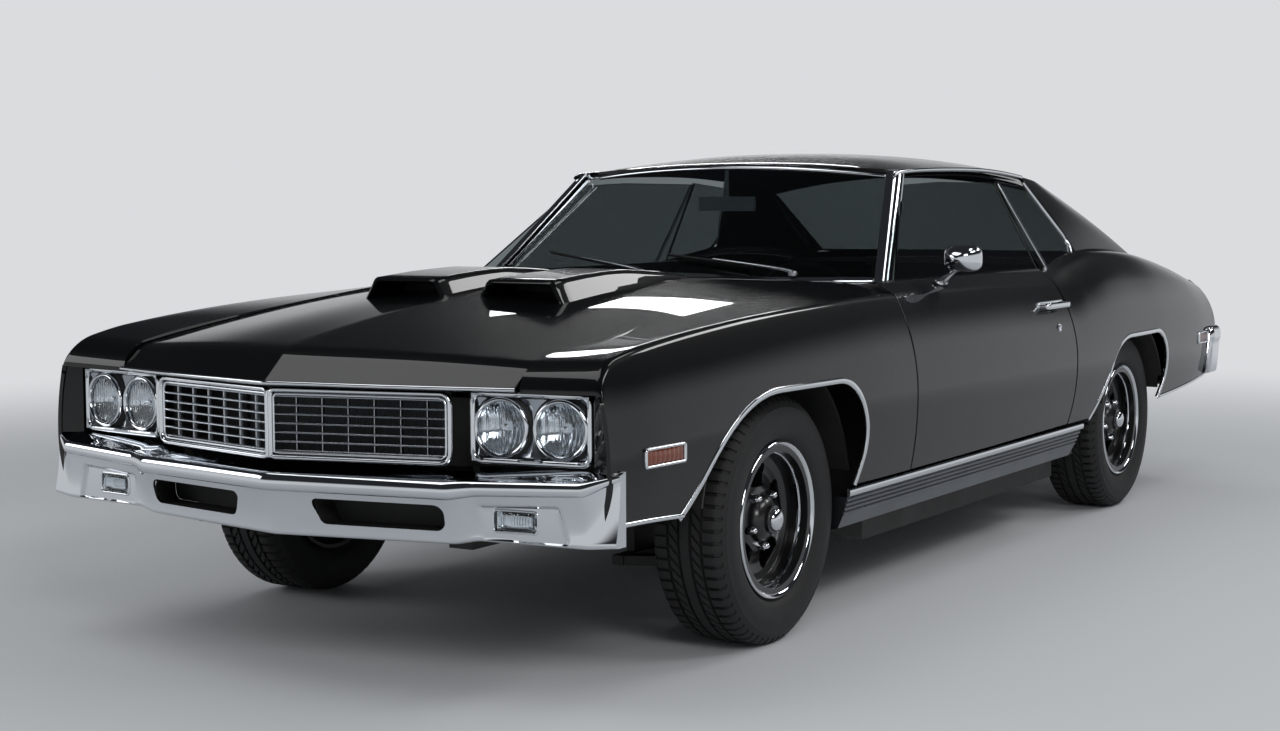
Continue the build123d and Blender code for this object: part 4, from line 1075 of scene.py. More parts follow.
def frame_strip(corners: Corners, width: float, height: float, count: int = 88) -> Shell:
    """Closed moulding round a frame of corners.

    Args:
        corners: Across, up and radius of each corner.
        width: Width of the moulding.
        height: Height of its crown.
        count: Points round the frame.

    Returns:
        A closed shell facing out.
    """
    path = standing(rounded(corners, count + 1, closed=True)[:-1])
    return sweep(path, (1, 0, 0), half_round(width, height), closed=True).turned_out((-60.0, 0.0, 0.0))


def boss(corners: Corners, depth: float, edge: float, crown: float = 0.0, count: int = 72) -> Shell:
    """Raised plate with a rounded rim and a crowned face.

    Args:
        corners: Across, up and radius of each corner.
        depth: How far the rim stands out.
        edge: Rim radius.
        crown: Further rise at the middle.
        count: Points round the plate.

    Returns:
        A closed shell facing out.
    """
    flat = rounded(corners, count + 1, closed=True)[:-1]
    middle = (flat.max(0) + flat.min(0)) / 2
    reach = (flat.max(0) - flat.min(0)) / 2
    rings = []
    for out, inset in ((0.0, 0.0), (depth - edge, 0.0), (depth - edge * 0.3, edge * 0.3), (depth, edge)):
        rings.append(standing(middle + (flat - middle) * (1 - inset / reach), out))
    base = rings[-1]
    for share in (0.75, 0.5, 0.25, 0.04):
        ring = base.copy()
        ring[:, 1:] = middle + (base[:, 1:] - middle) * share
        ring[:, 0] += crown * (1 - share**2)
        rings.append(ring)
    return stack(rings).turned_out((-depth * 0.2, *middle))


def ribbed(width: float, height: float, pitch: float, relief: float, crown: float,
        thick: float = 4.0) -> Shell:
    """Lens plate with upright ribs over a crowned face.

    Args:
        width: Width of the plate.
        height: Height of the plate.
        pitch: Distance between ribs.
        relief: Depth of the ribs.
        crown: Rise at the middle.
        thick: Depth of the rim behind the face.

    Returns:
        A closed shell facing out.
    """
    across = np.linspace(-0.5, 0.5, int(width / pitch * 6) + 1)
    up = np.linspace(-0.5, 0.5, 13)
    a, b = np.meshgrid(across, up, indexing="ij")
    fade = np.clip(np.minimum(0.5 - np.abs(a), 0.5 - np.abs(b)) * 12, 0, 1)
    out = crown * (1 - (2 * a)**2) * (1 - (2 * b)**2) + relief * fade * np.abs(np.sin(math.pi * a * width
            / pitch))
    face = points_of(out, a * width, b * height)
    rim = np.concatenate([face[:, 0], face[-1, 1:], face[-2::-1, -1], face[0, -2:0:-1]])
    back = rim - (thick, 0, 0)
    made = Shell().grid(face)
    made.join(Shell().grid(np.stack([rim, back]), wrap=True), Shell().lid(back[::-1]))
    return made.turned_out((-thick, 0.0, 0.0))


@dataclass
class FrontBumper:
    """Chrome front bumper with its roll, intakes and parking lamps."""
    rows: tuple[tuple[float, ...], ...] = ((0, 2585, 556, 532, 24, 2545, 372, 95),
            (488, 2499, 556, 532, 24, 2458, 375, 95), (545, 2474, 557, 534, 20, 2446, 386, 88),
            (832, 2438, 561, 544, 18, 2420, 386, 62), (904, 2388, 566, 560, 6, 2404, 392, 28))
    intake: tuple[Place, ...] = ((140, 406, 20), (466, 406, 24), (470, 470, 24), (112, 470, 14))
    lamp: tuple[Place, ...] = ((586, 412, 12), (706, 412, 12), (706, 466, 12), (586, 466, 12))
    panel: tuple[tuple[float, float], ...] = ((556, 330), (806, 330), (764, 484), (552, 474))
    crease: float = 7.0

    def at(self, y: Grid) -> Grid:
        """Section values at distances from the middle, with softened creases.

        Args:
            y: Distances from the middle of the car.

        Returns:
            One row of section values for each distance.
        """
        table = np.array(self.rows)
        fine = np.arange(-940.0, 940.1, 2.0)
        weight = np.exp(-0.5 * (np.arange(-15, 16) * 2.0 / self.crease)**2)
        cols = []
        for k in range(1, table.shape[1]):
            slope = (table[-1, k] - table[-2, k]) / (table[-1, 0] - table[-2, 0])
            line = np.interp(np.abs(fine), table[:, 0], table[:, k])
            line = line + slope * np.maximum(np.abs(fine) - table[-1, 0], 0)
            soft = np.convolve(line, weight / weight.sum(), "same")
            cols.append(np.interp(y, fine, np.where(np.abs(fine) < 905, soft, line)))
        return np.stack(cols, 1)

    def section(self, values: Grid) -> Grid:
        """Points in x and z from the rear top edge over the roll to the rear lower edge."""
        x_face, z_back, z_top, roll, x_low, z_low, depth = values
        back = x_face - depth
        t = np.linspace(0, 1, 8)[:-1]
        top = np.stack([back + (x_face - roll - back) * t, z_back + (z_top - z_back) * t], 1)
        turn = np.linspace(90, -90, 13)
        sink = np.clip(-turn / 90, 0, 1) * 0.3 * roll
        over = np.stack([x_face - roll + roll * np.cos(np.radians(turn)) + sink, z_top - roll + roll
                * np.sin(np.radians(turn))], 1)
        t = np.linspace(0, 1, 27)[1:]
        start = over[-1]
        face = np.stack([start[0] + (x_low - start[0]) * t - 5 * np.sin(math.pi * t) ** 0.8,
                start[1] + (z_low + 9 - start[1]) * t], 1)
        turn = np.radians(np.linspace(0, 90, 5)[1:])
        lip = np.stack([x_low - 9 + 9 * np.cos(turn), z_low + 9 - 9 * np.sin(turn)], 1)
        return np.concatenate([top, over, face, lip, [(back, z_low)]])

    def net(self) -> Shell:
        """Left half of the bar with its openings."""
        y = np.linspace(0, 904, 150)
        line = np.array([self.section(v) for v in self.at(y)])
        rows = points_of(line[..., 0], y[:, None], line[..., 1])
        depth = np.full(rows.shape[:2], 1e9)
        ring = np.array(self.panel)
        for (y0, z0), (y1, z1) in zip(ring, np.roll(ring, -1, 0)):
            length = math.hypot(y1 - y0, z1 - z0)
            depth = np.minimum(depth, ((y1 - y0) * (rows[..., 2] - z0) - (z1 - z0) * (rows[..., 1] - y0))
                    / length)
        share = np.clip(depth / 8, 0, 1)
        flat_x = 2446 - (rows[..., 1] - 540) * 34 / 280
        sunk = np.minimum(rows[..., 0], flat_x)
        valance = slice(20, 46)
        change = (sunk - rows[..., 0]) * share**2 * (3 - 2 * share)
        rows[:, valance, 0] += change[:, valance]
        keep = np.ones((rows.shape[0] - 1, rows.shape[1] - 1), bool)
        flat = rows[..., 1:].copy()
        for hole in (self.intake, self.lamp):
            moved, kept = snap_hole(flat, rounded(hole, 160, closed=True))
            shift = moved[..., 1] - flat[..., 1]
            slope = np.gradient(rows[..., 0], axis=1) / np.minimum(np.gradient(rows[..., 2], axis=1), -0.1)
            rows[..., 0] += np.where(np.abs(shift) > 0, shift * slope, 0)
            flat, keep = moved, keep & kept
        rows[..., 1:] = flat
        made = Shell().grid(rows, keep=keep).turned_out((2300.0, 300.0, 470.0))
        return made.join(Shell().lid(rows[-1]).turned_out((2380.0, 700.0, 470.0)))

    def tunnel(self, hole: Corners, depth: float) -> Shell:
        """Black sleeve behind one opening, as painted shade of the hollow behind it.

        Args:
            hole: Corners of the opening.
            depth: Depth of the lining.

        Returns:
            A shell for the left side.
        """
        flat = rounded(hole, 81, closed=True)[:-1]
        values = self.at(flat[:, 0])
        x = values[:, 4] + (values[:, 0] - values[:, 4]) * 0.3 - 12
        front = points_of(x, flat[:, 0], flat[:, 1])
        back = front - (depth, 0, 0)
        return Shell().grid(np.stack([front, back]), wrap=True).join(Shell().lid(back))

    def build(self) -> None:
        """Makes the bar, the painted shade behind its intakes and the parking lamps."""
        piece("front_bumper_bar", self.net().both(), CHROME, "body", ["front_bumper"], Hem(7.0, 2.0),
                weld=0.6)
        # The black sleeves behind the intakes are painted shade of the hollows behind the openings.
        piece("bumper_intake_shade", self.tunnel(self.intake, 70.0).both(), SEAL_AND_SHADE, hem=Hem(3.0, 0.5))
        out = (1.0, 0.127, 0.0)
        centre = np.array((2431.0, 646.0, 439.0))
        rim = frame_strip(frame_corners(59, 26, 11), 7, 5)
        piece("parking_lamp_rims", facing(rim, centre, out).both(), CHROME)
        lens = ribbed(112, 46, 7.0, 2.0, 5.0)
        piece("parking_lamp_lenses", facing(lens, centre, out).both(), LENS, "body", ["parking_lamps"])
        bowl = boss(frame_corners(56, 23, 9), 6.0, 2.0, -9.0)
        piece("parking_lamp_reflectors", facing(bowl, centre - (18, 0, 0), out).both(), REFLECTOR)


@dataclass
class Grille:
    """Two angled grille halves of thin bright bars in a double frame."""
    origin: Place = (2549.0, 0.0, 647.0)
    turn: float = 13.4
    width: float = 484.0
    height: float = 178.0
    level_bars: int = 7
    upright_bars: int = 6

    def blade(self, start: Sequence[float], end: Sequence[float], deep: float, half: float) -> Shell:
        """Thin bar with a rounded front between two places."""
        profile = [(-half, -deep), (-half, -1.0), (-half * 0.6, 1.2), (0.0, 2.0), (half * 0.6, 1.2),
                (half, -1.0), (half, -deep)]
        return sweep(np.array([start, end], float), (1, 0, 0), profile)

    def build(self) -> None:
        """Makes the frames and the bars of both halves."""
        wide, high = self.width, self.height / 2
        frame_path = [(5, -high + 6, 3), (wide - 6, -high + 6, 22), (wide - 6, high - 6, 22),
                (5, high - 6, 3)]
        inner_path = [(12, -high + 17, 2), (wide - 17, -high + 17, 14), (wide - 17, high - 17, 14),
                (12, high - 17, 2)]
        frames = frame_strip(frame_path, 13, 9).join(frame_strip(inner_path, 6, 3))
        bars = Shell()
        for i in range(1, self.level_bars + 1):
            z = -high + i * self.height / (self.level_bars + 1)
            bars.join(self.blade((-4, 8, z), (-4, wide - 10, z), 7.0, 2.9))
        for i in range(1, self.upright_bars + 1):
            y = i * wide / (self.upright_bars + 1)
            bars.join(self.blade((-9, y, -high + 10), (-9, y, high - 10), 10.0, 1.8))
        angle = math.radians(self.turn)
        out = (math.cos(angle), math.sin(angle), 0)
        piece("grille_frames", facing(frames, self.origin, out).both(), CHROME, "body", ["grille"])
        piece("grille_bars", facing(bars, self.origin, out).both(), BRIGHT)


@dataclass
class Headlamps:
    """Paired sealed lamps in dished bright bezels."""
    centre: Place = (2392.0, 660.0, 653.0)
    turn: float = 7.8
    spacing: float = 78.0
    lamp: float = 70.0
    half_width: float = 161.0
    half_height: float = 88.0

    def set(self, shell: Shell, y: float = 0.0, out: float = 0.0) -> Shell:
        """Sets a shell in the left bezel's frame, with its mirror image."""
        angle = math.radians(self.turn)
        front = np.array((math.cos(angle), math.sin(angle), 0))
        across = np.array((-math.sin(angle), math.cos(angle), 0))
        return facing(shell, np.array(self.centre) + across * y + front * out, front).both()

    def dish(self) -> Shell:
        """Sculpted bezel face with two round openings."""
        y = np.linspace(-self.half_width + 8, self.half_width - 8, 97)
        z = np.linspace(-self.half_height + 8, self.half_height - 8, 55)
        flat = np.stack(np.meshgrid(y, z, indexing="ij"), 2)
        keep = np.ones((len(y) - 1, len(z) - 1), bool)
        turn = np.linspace(0, math.tau, 120, endpoint=False)
        for side in (-1, 1):
            hole = np.stack([side * self.spacing + (self.lamp + 3) * np.cos(turn),
                    (self.lamp + 3) * np.sin(turn)], 1)
            flat, kept = snap_hole(flat, hole)
            keep &= kept
        away = np.minimum(np.hypot(flat[..., 0] - self.spacing, flat[..., 1]),
                np.hypot(flat[..., 0] + self.spacing, flat[..., 1])) - self.lamp
        wall = np.minimum(self.half_width - 8 - np.abs(flat[..., 0]), self.half_height - 8
                - np.abs(flat[..., 1]))
        out = -26 + 15 * np.clip(away / 34, 0, 1) + 24 * np.clip(1 - wall / 7, 0, 1)
        return Shell().grid(np.concatenate([np.minimum(out, -2)[..., None], flat], 2),
                keep=keep).turned_out((-90.0, 0, 0))

    def turned(self, profile: Profile, steps: int = 72) -> Shell:
        """Shell turned about the lamp's own axis from radius and distance out."""
        return lathe(profile, steps).moved(lambda p: p[:, (1, 0, 2)], flip=True)

    def fluted(self, radius: float, reach: float, depth: float, sag: float, relief: float,
            pitch: float) -> Shell:
        """Round glass or bowl with upright flutes.

        Args:
            radius: Outer radius.
            reach: Distance out at the rim.
            depth: Distance from the rim to the middle, outward if positive.
            sag: Power of the dish curve.
            relief: Depth of the flutes.
            pitch: Distance between flutes.

        Returns:
            An open shell.
        """
        r = np.linspace(0.6, radius, 20)
        turn = np.linspace(0, math.tau, 101)
        y, z = np.outer(r, np.cos(turn)), np.outer(r, np.sin(turn))
        flute = relief * np.cos(math.tau * y / pitch) * np.clip((radius - r)[:, None] / 6, 0, 1)
        out = reach + depth * (1 - (r[:, None] / radius)**sag) + flute
        return Shell().grid(points_of(out, y, z))

    def build(self) -> None:
        """Makes the bezels, rims, lenses, reflectors and bulb shields."""
        rim = frame_strip(frame_corners(self.half_width - 8, self.half_height - 8, 22), 16, 8, 160)
        piece("headlamp_bezel_rims", self.set(rim, out=-8.0), CHROME)
        piece("headlamp_bezel_dishes", self.set(self.dish()), SILVER, "body", ["headlamp_bezels"],
                Hem(3.0, 0.8))
        loop = self.turned([(self.lamp - 3 + 6 * math.cos(a), -8 + 8 * math.sin(a))
                for a in np.linspace(0, math.tau, 13)], 72)
        gap = self.turned([(self.lamp + 8, -30.0), (self.lamp + 8, -18.0), (self.lamp + 2, -14.0),
                (self.lamp - 2, -30.0)], 64)
        lens = self.fluted(self.lamp - 4, -12.0, 9.0, 2.0, 0.7, 9.0).turned_out((-200.0, 0, 0))
        bowl = self.fluted(self.lamp - 4, -20.0, -42.0, 1.8, 1.3, 13.0).turned_out((-500.0, 0, 0))
        shield = self.turned([(0.5, -26.0), (8.0, -28.0), (12.0, -34.0), (13.0, -42.0), (9.0, -62.0)], 40)
        for name, shell, finish, stands_for, hem in (("rings", loop, CHROME, [], None),
                ("seals", gap, SEAL_AND_SHADE, [], Hem(1.5, 0.3)),
                ("lenses", lens, LENS, ["headlamps"], Hem(3.0, 0.5)),
                ("reflectors", bowl, REFLECTOR, [], Hem(1.5, 0.3)),
                ("bulb_shields", shield, CHROME, [], Hem(1.0, 0.2))):
            pair = Shell().join(self.set(shell, -self.spacing), self.set(shell, self.spacing))
            piece("headlamp_" + name, pair, finish, "body", stands_for, hem)


@dataclass
class Wheels:
    """Four deep spoked wheels with bright trim rings, and their tyres."""
    wheel_y: float = 757.0
    tyre: float = 334.0
    spokes: int = 5
    slot_low: float = 92.0
    slot_high: float = 156.0
    nut_circle: float = 73.0
    pitches: int = 66
    groove: float = 9.0

    def build(self) -> None:
        """Makes the four wheels with their tyres."""
        parts = {"disc": (self.disc(), ENAMEL, Hem(9.0, 2.5)), "barrel": (self.barrel(), ENAMEL, None),
            "trim_ring": (self.trim_ring(), CHROME, None), "hub": (self.hub(), ENAMEL, None),
            "hub_cap": (self.cap(), CHROME, None), "nuts": (self.nuts(), CHROME, None)}
        tyre = self.tyre_shell()
        for end, axle_x in (("front", FRONT_AXLE_X), ("rear", REAR_AXLE_X)):
            for side in SIDES:
                name = f"{end}_{side}"
                for part, (shell, finish, hem) in parts.items():
                    stands_for = ["wheel_" + name] if part == "disc" else []
                    piece(f"wheel_{part}_{name}", self.put(shell, axle_x, side), finish, "wheel_" + name,
                            stands_for, hem)
                piece("tread_" + name, self.put(tyre, axle_x, side), RUBBER, "wheel_" + name,
                        ["tyre_" + name], sharp=28.0)

    def put(self, shell: Shell, axle_x: float, side: str) -> Shell:
        """Sets an axle-centred shell at one corner of the car."""
        return shell.moved(lambda p: p + (axle_x, 0, AXLE_Z)).on(side)

    def disc(self) -> Shell:
        """Pressed wheel disc with its slots."""
        r = np.concatenate([np.linspace(30, 88, 8), np.linspace(90, 160, 20), np.linspace(164, 184, 5)])
        turn = np.linspace(0, math.tau, 181)
        flat = np.stack([np.outer(r, np.sin(turn)), np.outer(r, np.cos(turn))], 2)
        keep = np.ones((len(r) - 1, len(turn) - 1), bool)
        for i in range(self.spokes):
            corners = []
            for share, radius in ((-0.62, self.slot_low), (0.62, self.slot_low), (0.62, self.slot_high),
                    (-0.62, self.slot_high)):
                angle = math.tau / self.spokes * (i + share / 2)
                corners.append((radius * math.sin(angle), radius * math.cos(angle), 13))
            flat, kept = snap_hole(flat, rounded(corners, 200, closed=True)[:-1])
            keep &= kept
        radius = np.hypot(flat[..., 0], flat[..., 1])
        y = np.interp(radius, (30, 62, 84, 100, 124, 150, 166, 184),
                (802, 800, 796, 786, 781, 786, 795, 797))
        return Shell().grid(points_of(flat[..., 0], y, flat[..., 1]),
                keep=keep).turned_out((0.0, 600.0, 0.0))

    def barrel(self) -> Shell:
        """Rolled rim with a dropped middle."""
        loop = [(183, 850), (190, 851), (205, 851), (208, 846), (206, 840), (196, 834), (191, 826),
                (189, 800), (188, 730), (190, 690), (200, 676), (207, 668), (205, 662), (194, 664),
                (184, 684), (181, 720), (181, 800), (182, 836), (183, 850)]
        return lathe(loop, 88).turned_out((0.0, 757.0, 0.0))

    def trim_ring(self) -> Shell:
        """Two-step bright ring over the rim's edge."""
        loop = [(212, 846), (213, 852), (211, 856), (207, 858), (202, 856), (198, 851), (195.5, 846),
                (194, 845), (192.5, 846), (190, 845), (186.5, 840), (183, 832), (180.5, 824), (178.5, 826),
                (177, 825), (177.5, 819), (181, 818), (186, 828), (192, 840), (203, 850), (212, 846)]
        return lathe(loop, 112)

    def hub(self) -> Shell:
        """Domed bearing hub."""
        line = [(64, 797), (63, 806), (59, 816), (52, 825), (44, 830), (40, 832), (38.5, 836), (38, 842),
                (33, 844), (0.5, 844)]
        return lathe(line, 72).turned_out((0.0, 780.0, 0.0))

    def cap(self) -> Shell:
        """Bright cap on the hub's end."""
        line = [(31, 842), (32, 846), (31, 851), (27, 857), (20, 861), (10, 863.5), (0.5, 864)]
        return lathe(line, 56).turned_out((0.0, 780.0, 0.0))

    def nuts(self) -> Shell:
        """Ring of domed lug nuts."""
        made = Shell()
        for i in range(self.spokes):
            angle = math.tau / self.spokes * (i + 0.5)
            rings = []
            for r, y in ((11.5, 792), (11.5, 814), (10.0, 816), (8.6, 822), (6.0, 826), (2.0, 828)):
                turn = np.linspace(0, math.tau, 24, endpoint=False)
                if r > 10:
                    r = r / np.cos((turn % (math.pi / 3)) - math.pi / 6) * 0.93
                rings.append(points_of(self.nut_circle * math.sin(angle) + r * np.cos(turn), float(y),
                    self.nut_circle * math.cos(angle) + r * np.sin(turn)))
            made.join(stack(rings).turned_out(tuple(np.mean(rings[1], 0))))
        return made

    def tyre_shell(self) -> Shell:
        """Tyre with a block tread cut by grooves and cross slots."""
        wall = [(190.3, 70), (200, 80), (213, 88), (221, 98), (229, 103.5), (236, 106.7), (242, 108),
                (256, 111), (270, 112), (285, 110.8), (297, 107.5), (302, 108.0), (306, 105.2), (314, 101),
                (319, 97), (321, 95.6), (329, 88), (331.5, 82)]
        edges = []
        for middle in (17.0, 49.0):
            edges += [middle - 4.6, middle - 3.4, middle + 3.4, middle + 4.6]
        tread = sorted([78.0, 63.0, 33.0, 6.0] + edges)
        half = [(r, y, 0.0) for r, y in wall] + [(self.tyre - 0.4 * (y / 76)**2 * 2, y, 1.0)
                for y in reversed(tread)]
        line = np.array(half + [(r, -y, k) for r, y, k in reversed(half)])
        r, y = line[:, 0].copy(), line[:, 1]
        far = np.abs(y)
        on_tread = line[:, 2] > 0
        for middle in (17.0, 49.0):
            r = np.where(on_tread & (np.abs(far - middle) < 4.0), r - self.groove, r)
        pitch = math.tau / self.pitches
        shares = np.array((0.0, 0.035, 0.70, 0.735))
        cut = np.array((1.0, 0.0, 0.0, 1.0))
        turn = (np.arange(self.pitches)[:, None] + shares[None, :]).ravel() * pitch
        slot = np.tile(cut, self.pitches)
        shoulder = (far > 53.5) & (line[:, 0] > 318.5)
        middle_rib = on_tread & (far > 21.5) & (far < 44.5)
        depth = np.where(shoulder, np.where(on_tread, self.groove, 5.0), np.where(middle_rib, 6.0, 0.0))
        skew = np.where(middle_rib, 0.45 * (far - 33) / 12 * np.sign(y),
                np.where(shoulder, 0.2 * np.sign(y), 0.0)) * pitch
        radius = r[None, :] - depth[None, :] * slot[:, None]
        angle = turn[:, None] + skew[None, :]
        rows = points_of(radius * np.sin(angle), self.wheel_y + y, radius * np.cos(angle))
        rows = np.concatenate([rows, rows[:1]])
        made = Shell().grid(rows)
        inner = np.stack([rows[:, 0], rows[:, -1]], 1)
        return made.join(Shell().grid(inner)).turned_out((0.0, self.wheel_y, 0.0))


@dataclass
class Trim:
    """Sill covers, bright strips, mirror, handles, side lamps, cowl and wipers."""
    rocker_front: float = 1172.0
    rocker_rear: float = -768.0

    def build(self) -> None:
        """Makes the outside trim of both sides."""
        self.rockers()
        self.low_strips()
        self.window_strips()
        self.mirror()
        self.handles()
        self.markers()
        self.cowl()
        self.wipers()

    def rockers(self) -> None:
        """Ribbed bright sill covers with a rounded upper strip."""
        section = [(842, 258), (866, 264), (879, 294)]
        for i in range(4):
            z = 300 + i * 13
            y = 880.5 + i * 3.6
            section += [(y, z), (y + 3.6, z + 2.5), (y + 4.4, z + 8), (y + 1.2, z + 10.5)]
        section += [(896, 354), (842, 354)]
        xs = np.linspace(self.rocker_front, self.rocker_rear, 24)
        rings = [standing(np.array(section), x) for x in xs]
        rings[-1][:, 0] += (367 - rings[-1][:, 2]) * 0.5
        piece("sill_covers", stack(rings).turned_out((200, 850, 310)).both(), SILL, "body", ["rockers"],
                sharp=24.0)
        path = points_of(xs, 897.0, 367.0)
        strip = sweep(path, (0, 1, 0), half_round(25, 8)).turned_out((200, 850, 367))
        piece("sill_strips", strip.both(), CHROME)

    def low_strips(self) -> None:
        """Bright edges along the fender and quarter bottoms."""
        made = Shell()
        for start, end in ((2352.0, 2072.0), (-1652.0, -2340.0)):
            x = np.linspace(start, end, 30)
            z = SIDE.sections.at(x).T[1] + 5
            path = points_of(x, SIDE.skin_y(x, z), z)
            made.join(sweep(path, (0, 1, 0), half_round(13, 6)).turned_out((start, 700, 430)))
        piece("lower_edge_strips", made.both(), CHROME)

    def glass_y(self, z: Grid) -> Grid:
        """Outer face of the side glass at a height."""
        return 783.0 - (783.0 - 606.0) / (1262.0 - 935.0) * (np.asarray(z, float) - 935.0)

    def window_strips(self) -> None:
        """Drip rails, quarter window surrounds and dividers."""
        x = np.linspace(246, -866, 60)
        roof = Roof().point(x, np.ones(60))
        path = roof + np.array((0, 2, -3))
        drip = sweep(path, (0, 0.8, 0.6), half_round(13, 8)).turned_out((-300, 500, 1240))
        flat = rounded([(-868, 1240, 0), (-1042, 1000, 44), (-960, 968, 40), (-800, 946, 90),
                (-616, 916, 0)], 90)
        line = points_of(flat[:, 0], self.glass_y(flat[:, 1]) + 5, flat[:, 1])
        out = (0, 0.88, 0.47)
        surround = sweep(line, out, half_round(17, 9)).turned_out((-700, 600, 1100))
        piece("drip_rails", drip.both(), CHROME)
        piece("quarter_window_surrounds", surround.both(), CHROME)
        z = np.linspace(1236, 936, 12)
        bar = points_of(np.interp(z, (936, 1236), (-676, -616)), self.glass_y(z) + 8, z)
        divider = sweep(bar, out, half_round(15, 5)).turned_out((-700, 600, 1100))
        piece("quarter_window_dividers", divider.both(), CHROME)
        edge = points_of(-588.0, self.glass_y(z) + 4, z)
        door_edge = sweep(edge, out, half_round(7, 2)).turned_out((-600, 600, 1100))
        for side in SIDES:
            piece("door_glass_edge_" + side, door_edge.on(side), SEAL_AND_SHADE, "door_" + side)

    def mirror(self) -> None:
        """Chrome mirror head on a curved stem, on the driver's door."""
        centre = np.array((392.0, 911.0, 1000.0))
        turn = np.linspace(0, math.tau, 64, endpoint=False)
        power = 0.62
        shape = np.stack([np.sign(np.cos(turn)) * np.abs(np.cos(turn))**power, np.sign(np.sin(turn))
                * np.abs(np.sin(turn))**power], 1)
        rings = []
        for out, wide, high in ((-16, 50, 33), (-20, 53, 36), (-20, 57, 40), (-14, 59.5, 42), (0, 59, 41.5),
                (18, 54, 38), (34, 44, 31), (46, 29, 21), (52, 12, 9), (53, 2, 2)):
            rings.append(points_of(out, shape[:, 0] * wide, shape[:, 1] * high) + centre)
        head = stack(rings).turned_out(tuple(centre))
        t = np.linspace(0, 1, 14)[:, None]
        path = (1 - t)**2 * (380, 836, 921) + 2 * t * (1 - t) * (386, 872, 958) + t**2 * (394, 902, 972)
        stem = sweep(path, (1, 0, 0), [(c * 9, s * 15) for c, s in disc(1.0, 20)],
                scale=np.linspace(1.15, 0.8, 14))
        foot = facing(boss(frame_corners(34, 15, 14), 7.0, 3.0, 2.0), (378, 832, 924), (0.0, 0.45, 0.89),
                (0, 0, 1))
        piece("mirror_head", head, CHROME, "door_left", ["door_mirror"])
        piece("mirror_stem", stem.turned_out((388, 880, 950)).join(foot), CHROME, "door_left")
        glass = points_of(-17.0, shape[:, 0] * 51, shape[:, 1] * 34) + centre
        piece("mirror_glass", Shell().lid(glass).turned_out((600, 911, 1000)), REFLECTOR, "door_left", [],
                Hem(2.0, 0.3))

    def handles(self) -> None:
        """Pull handles on their plates, and the locks below."""
        y_skin = float(SIDE.skin_y(np.array([-430.0]), np.array([817.0]))[0])
        plate = facing(boss(frame_corners(121, 15, 14), 6.0, 3.0, 1.0), (-430, y_skin - 2, 817), (0, 1, 0))
        flat = rounded([(-536, y_skin, 0), (-532, 931, 12), (-330, 931, 12), (-326, y_skin, 0)], 50)
        path = points_of(flat[:, 0], np.minimum(flat[:, 1], 930), 817.0)
        grip = sweep(path, (0, 0, 1), [(c * 4.0, s * 10.0) for c, s in disc(1.0, 18)]).turned_out((-430,
                900, 817))
        lock_y = float(SIDE.skin_y(np.array([-450.0]), np.array([738.0]))[0])
        lock = lathe([(14, -1), (14, 3), (12, 5), (8, 5.5), (7.5, 4), (0.5, 4)], 40)
        lock = lock.moved(lambda p: p + (-450, lock_y, 738)).turned_out((-450, lock_y - 10, 738))
        for side in SIDES:
            piece("handle_plate_" + side, plate.on(side), CHROME, "door_" + side, ["door_handle_" + side])
            piece("handle_grip_" + side, grip.on(side), CHROME, "door_" + side)
            piece("door_lock_" + side, lock.on(side), CHROME, "door_" + side)

    def markers(self) -> None:
        """Side marker lamps in bright frames."""
        frames, amber, red = Shell(), Shell(), Shell()
        for x, z, lens in ((2190.0, 585.0, amber), (-2230.0, 600.0, red)):
            y = SIDE.skin_y(np.array([x + 60, x - 60, x]), np.array([z, z, z]))
            out = (-(y[0] - y[1]) / 120, 1.0, 0.0)
            centre = (x, float(y[2]) + 1, z)
            frames.join(facing(frame_strip(frame_corners(82, 21, 4), 9, 6), centre, out).both())
            lens.join(facing(ribbed(152, 34, 19.0, 1.2, 2.5), centre, out).both())
        piece("side_marker_frames", frames, CHROME, "body", ["side_markers"])
        piece("front_marker_lenses", amber, AMBER)
        piece("rear_marker_lenses", red, RED)

    def cowl(self) -> None:
        """Painted panel below the windshield, with dark strips as painted shade of its air slots."""
        v = np.linspace(-1, 1, 61)
        y = v * 700
        front = points_of(hood_rear(y) - 24, y, 938 - 8 * np.abs(v)**2.2)
        rear = points_of(780 - 212 * v**2, y, 929.0)
        net = between(front, rear, 8)
        net[..., 2] -= 2 * np.sin(math.pi * np.linspace(0, 1, 8))[:, None]
        net = np.concatenate([front[None] - (-3, 0, 12), net])
        piece("cowl_panel", Shell().grid(net).turned_out((700, 0, 500)), PAINT, hem=Hem(5.0, 1.0))
        # Each slot is a thin dark strip on the panel: painted shade where the real opening would be dark.
        slots = Shell()
        for i in range(-19, 20):
            if abs(i) < 3:
                continue
            share = i / 20 * 0.92
            a = [np.interp(share, v, net[2, :, k]) for k in range(3)]
            b = [np.interp(share, v, net[6, :, k]) for k in range(3)]
            line = np.array([a, b]) + (0, 0, 0.6)
            slots.join(sweep(np.array([line[0] * 0.8 + line[1] * 0.2, line[0] * 0.25 + line[1] * 0.75]),
                    (0, 0, 1), half_round(9, 1.2)))
        piece("cowl_slot_shade", slots, SEAL_AND_SHADE)

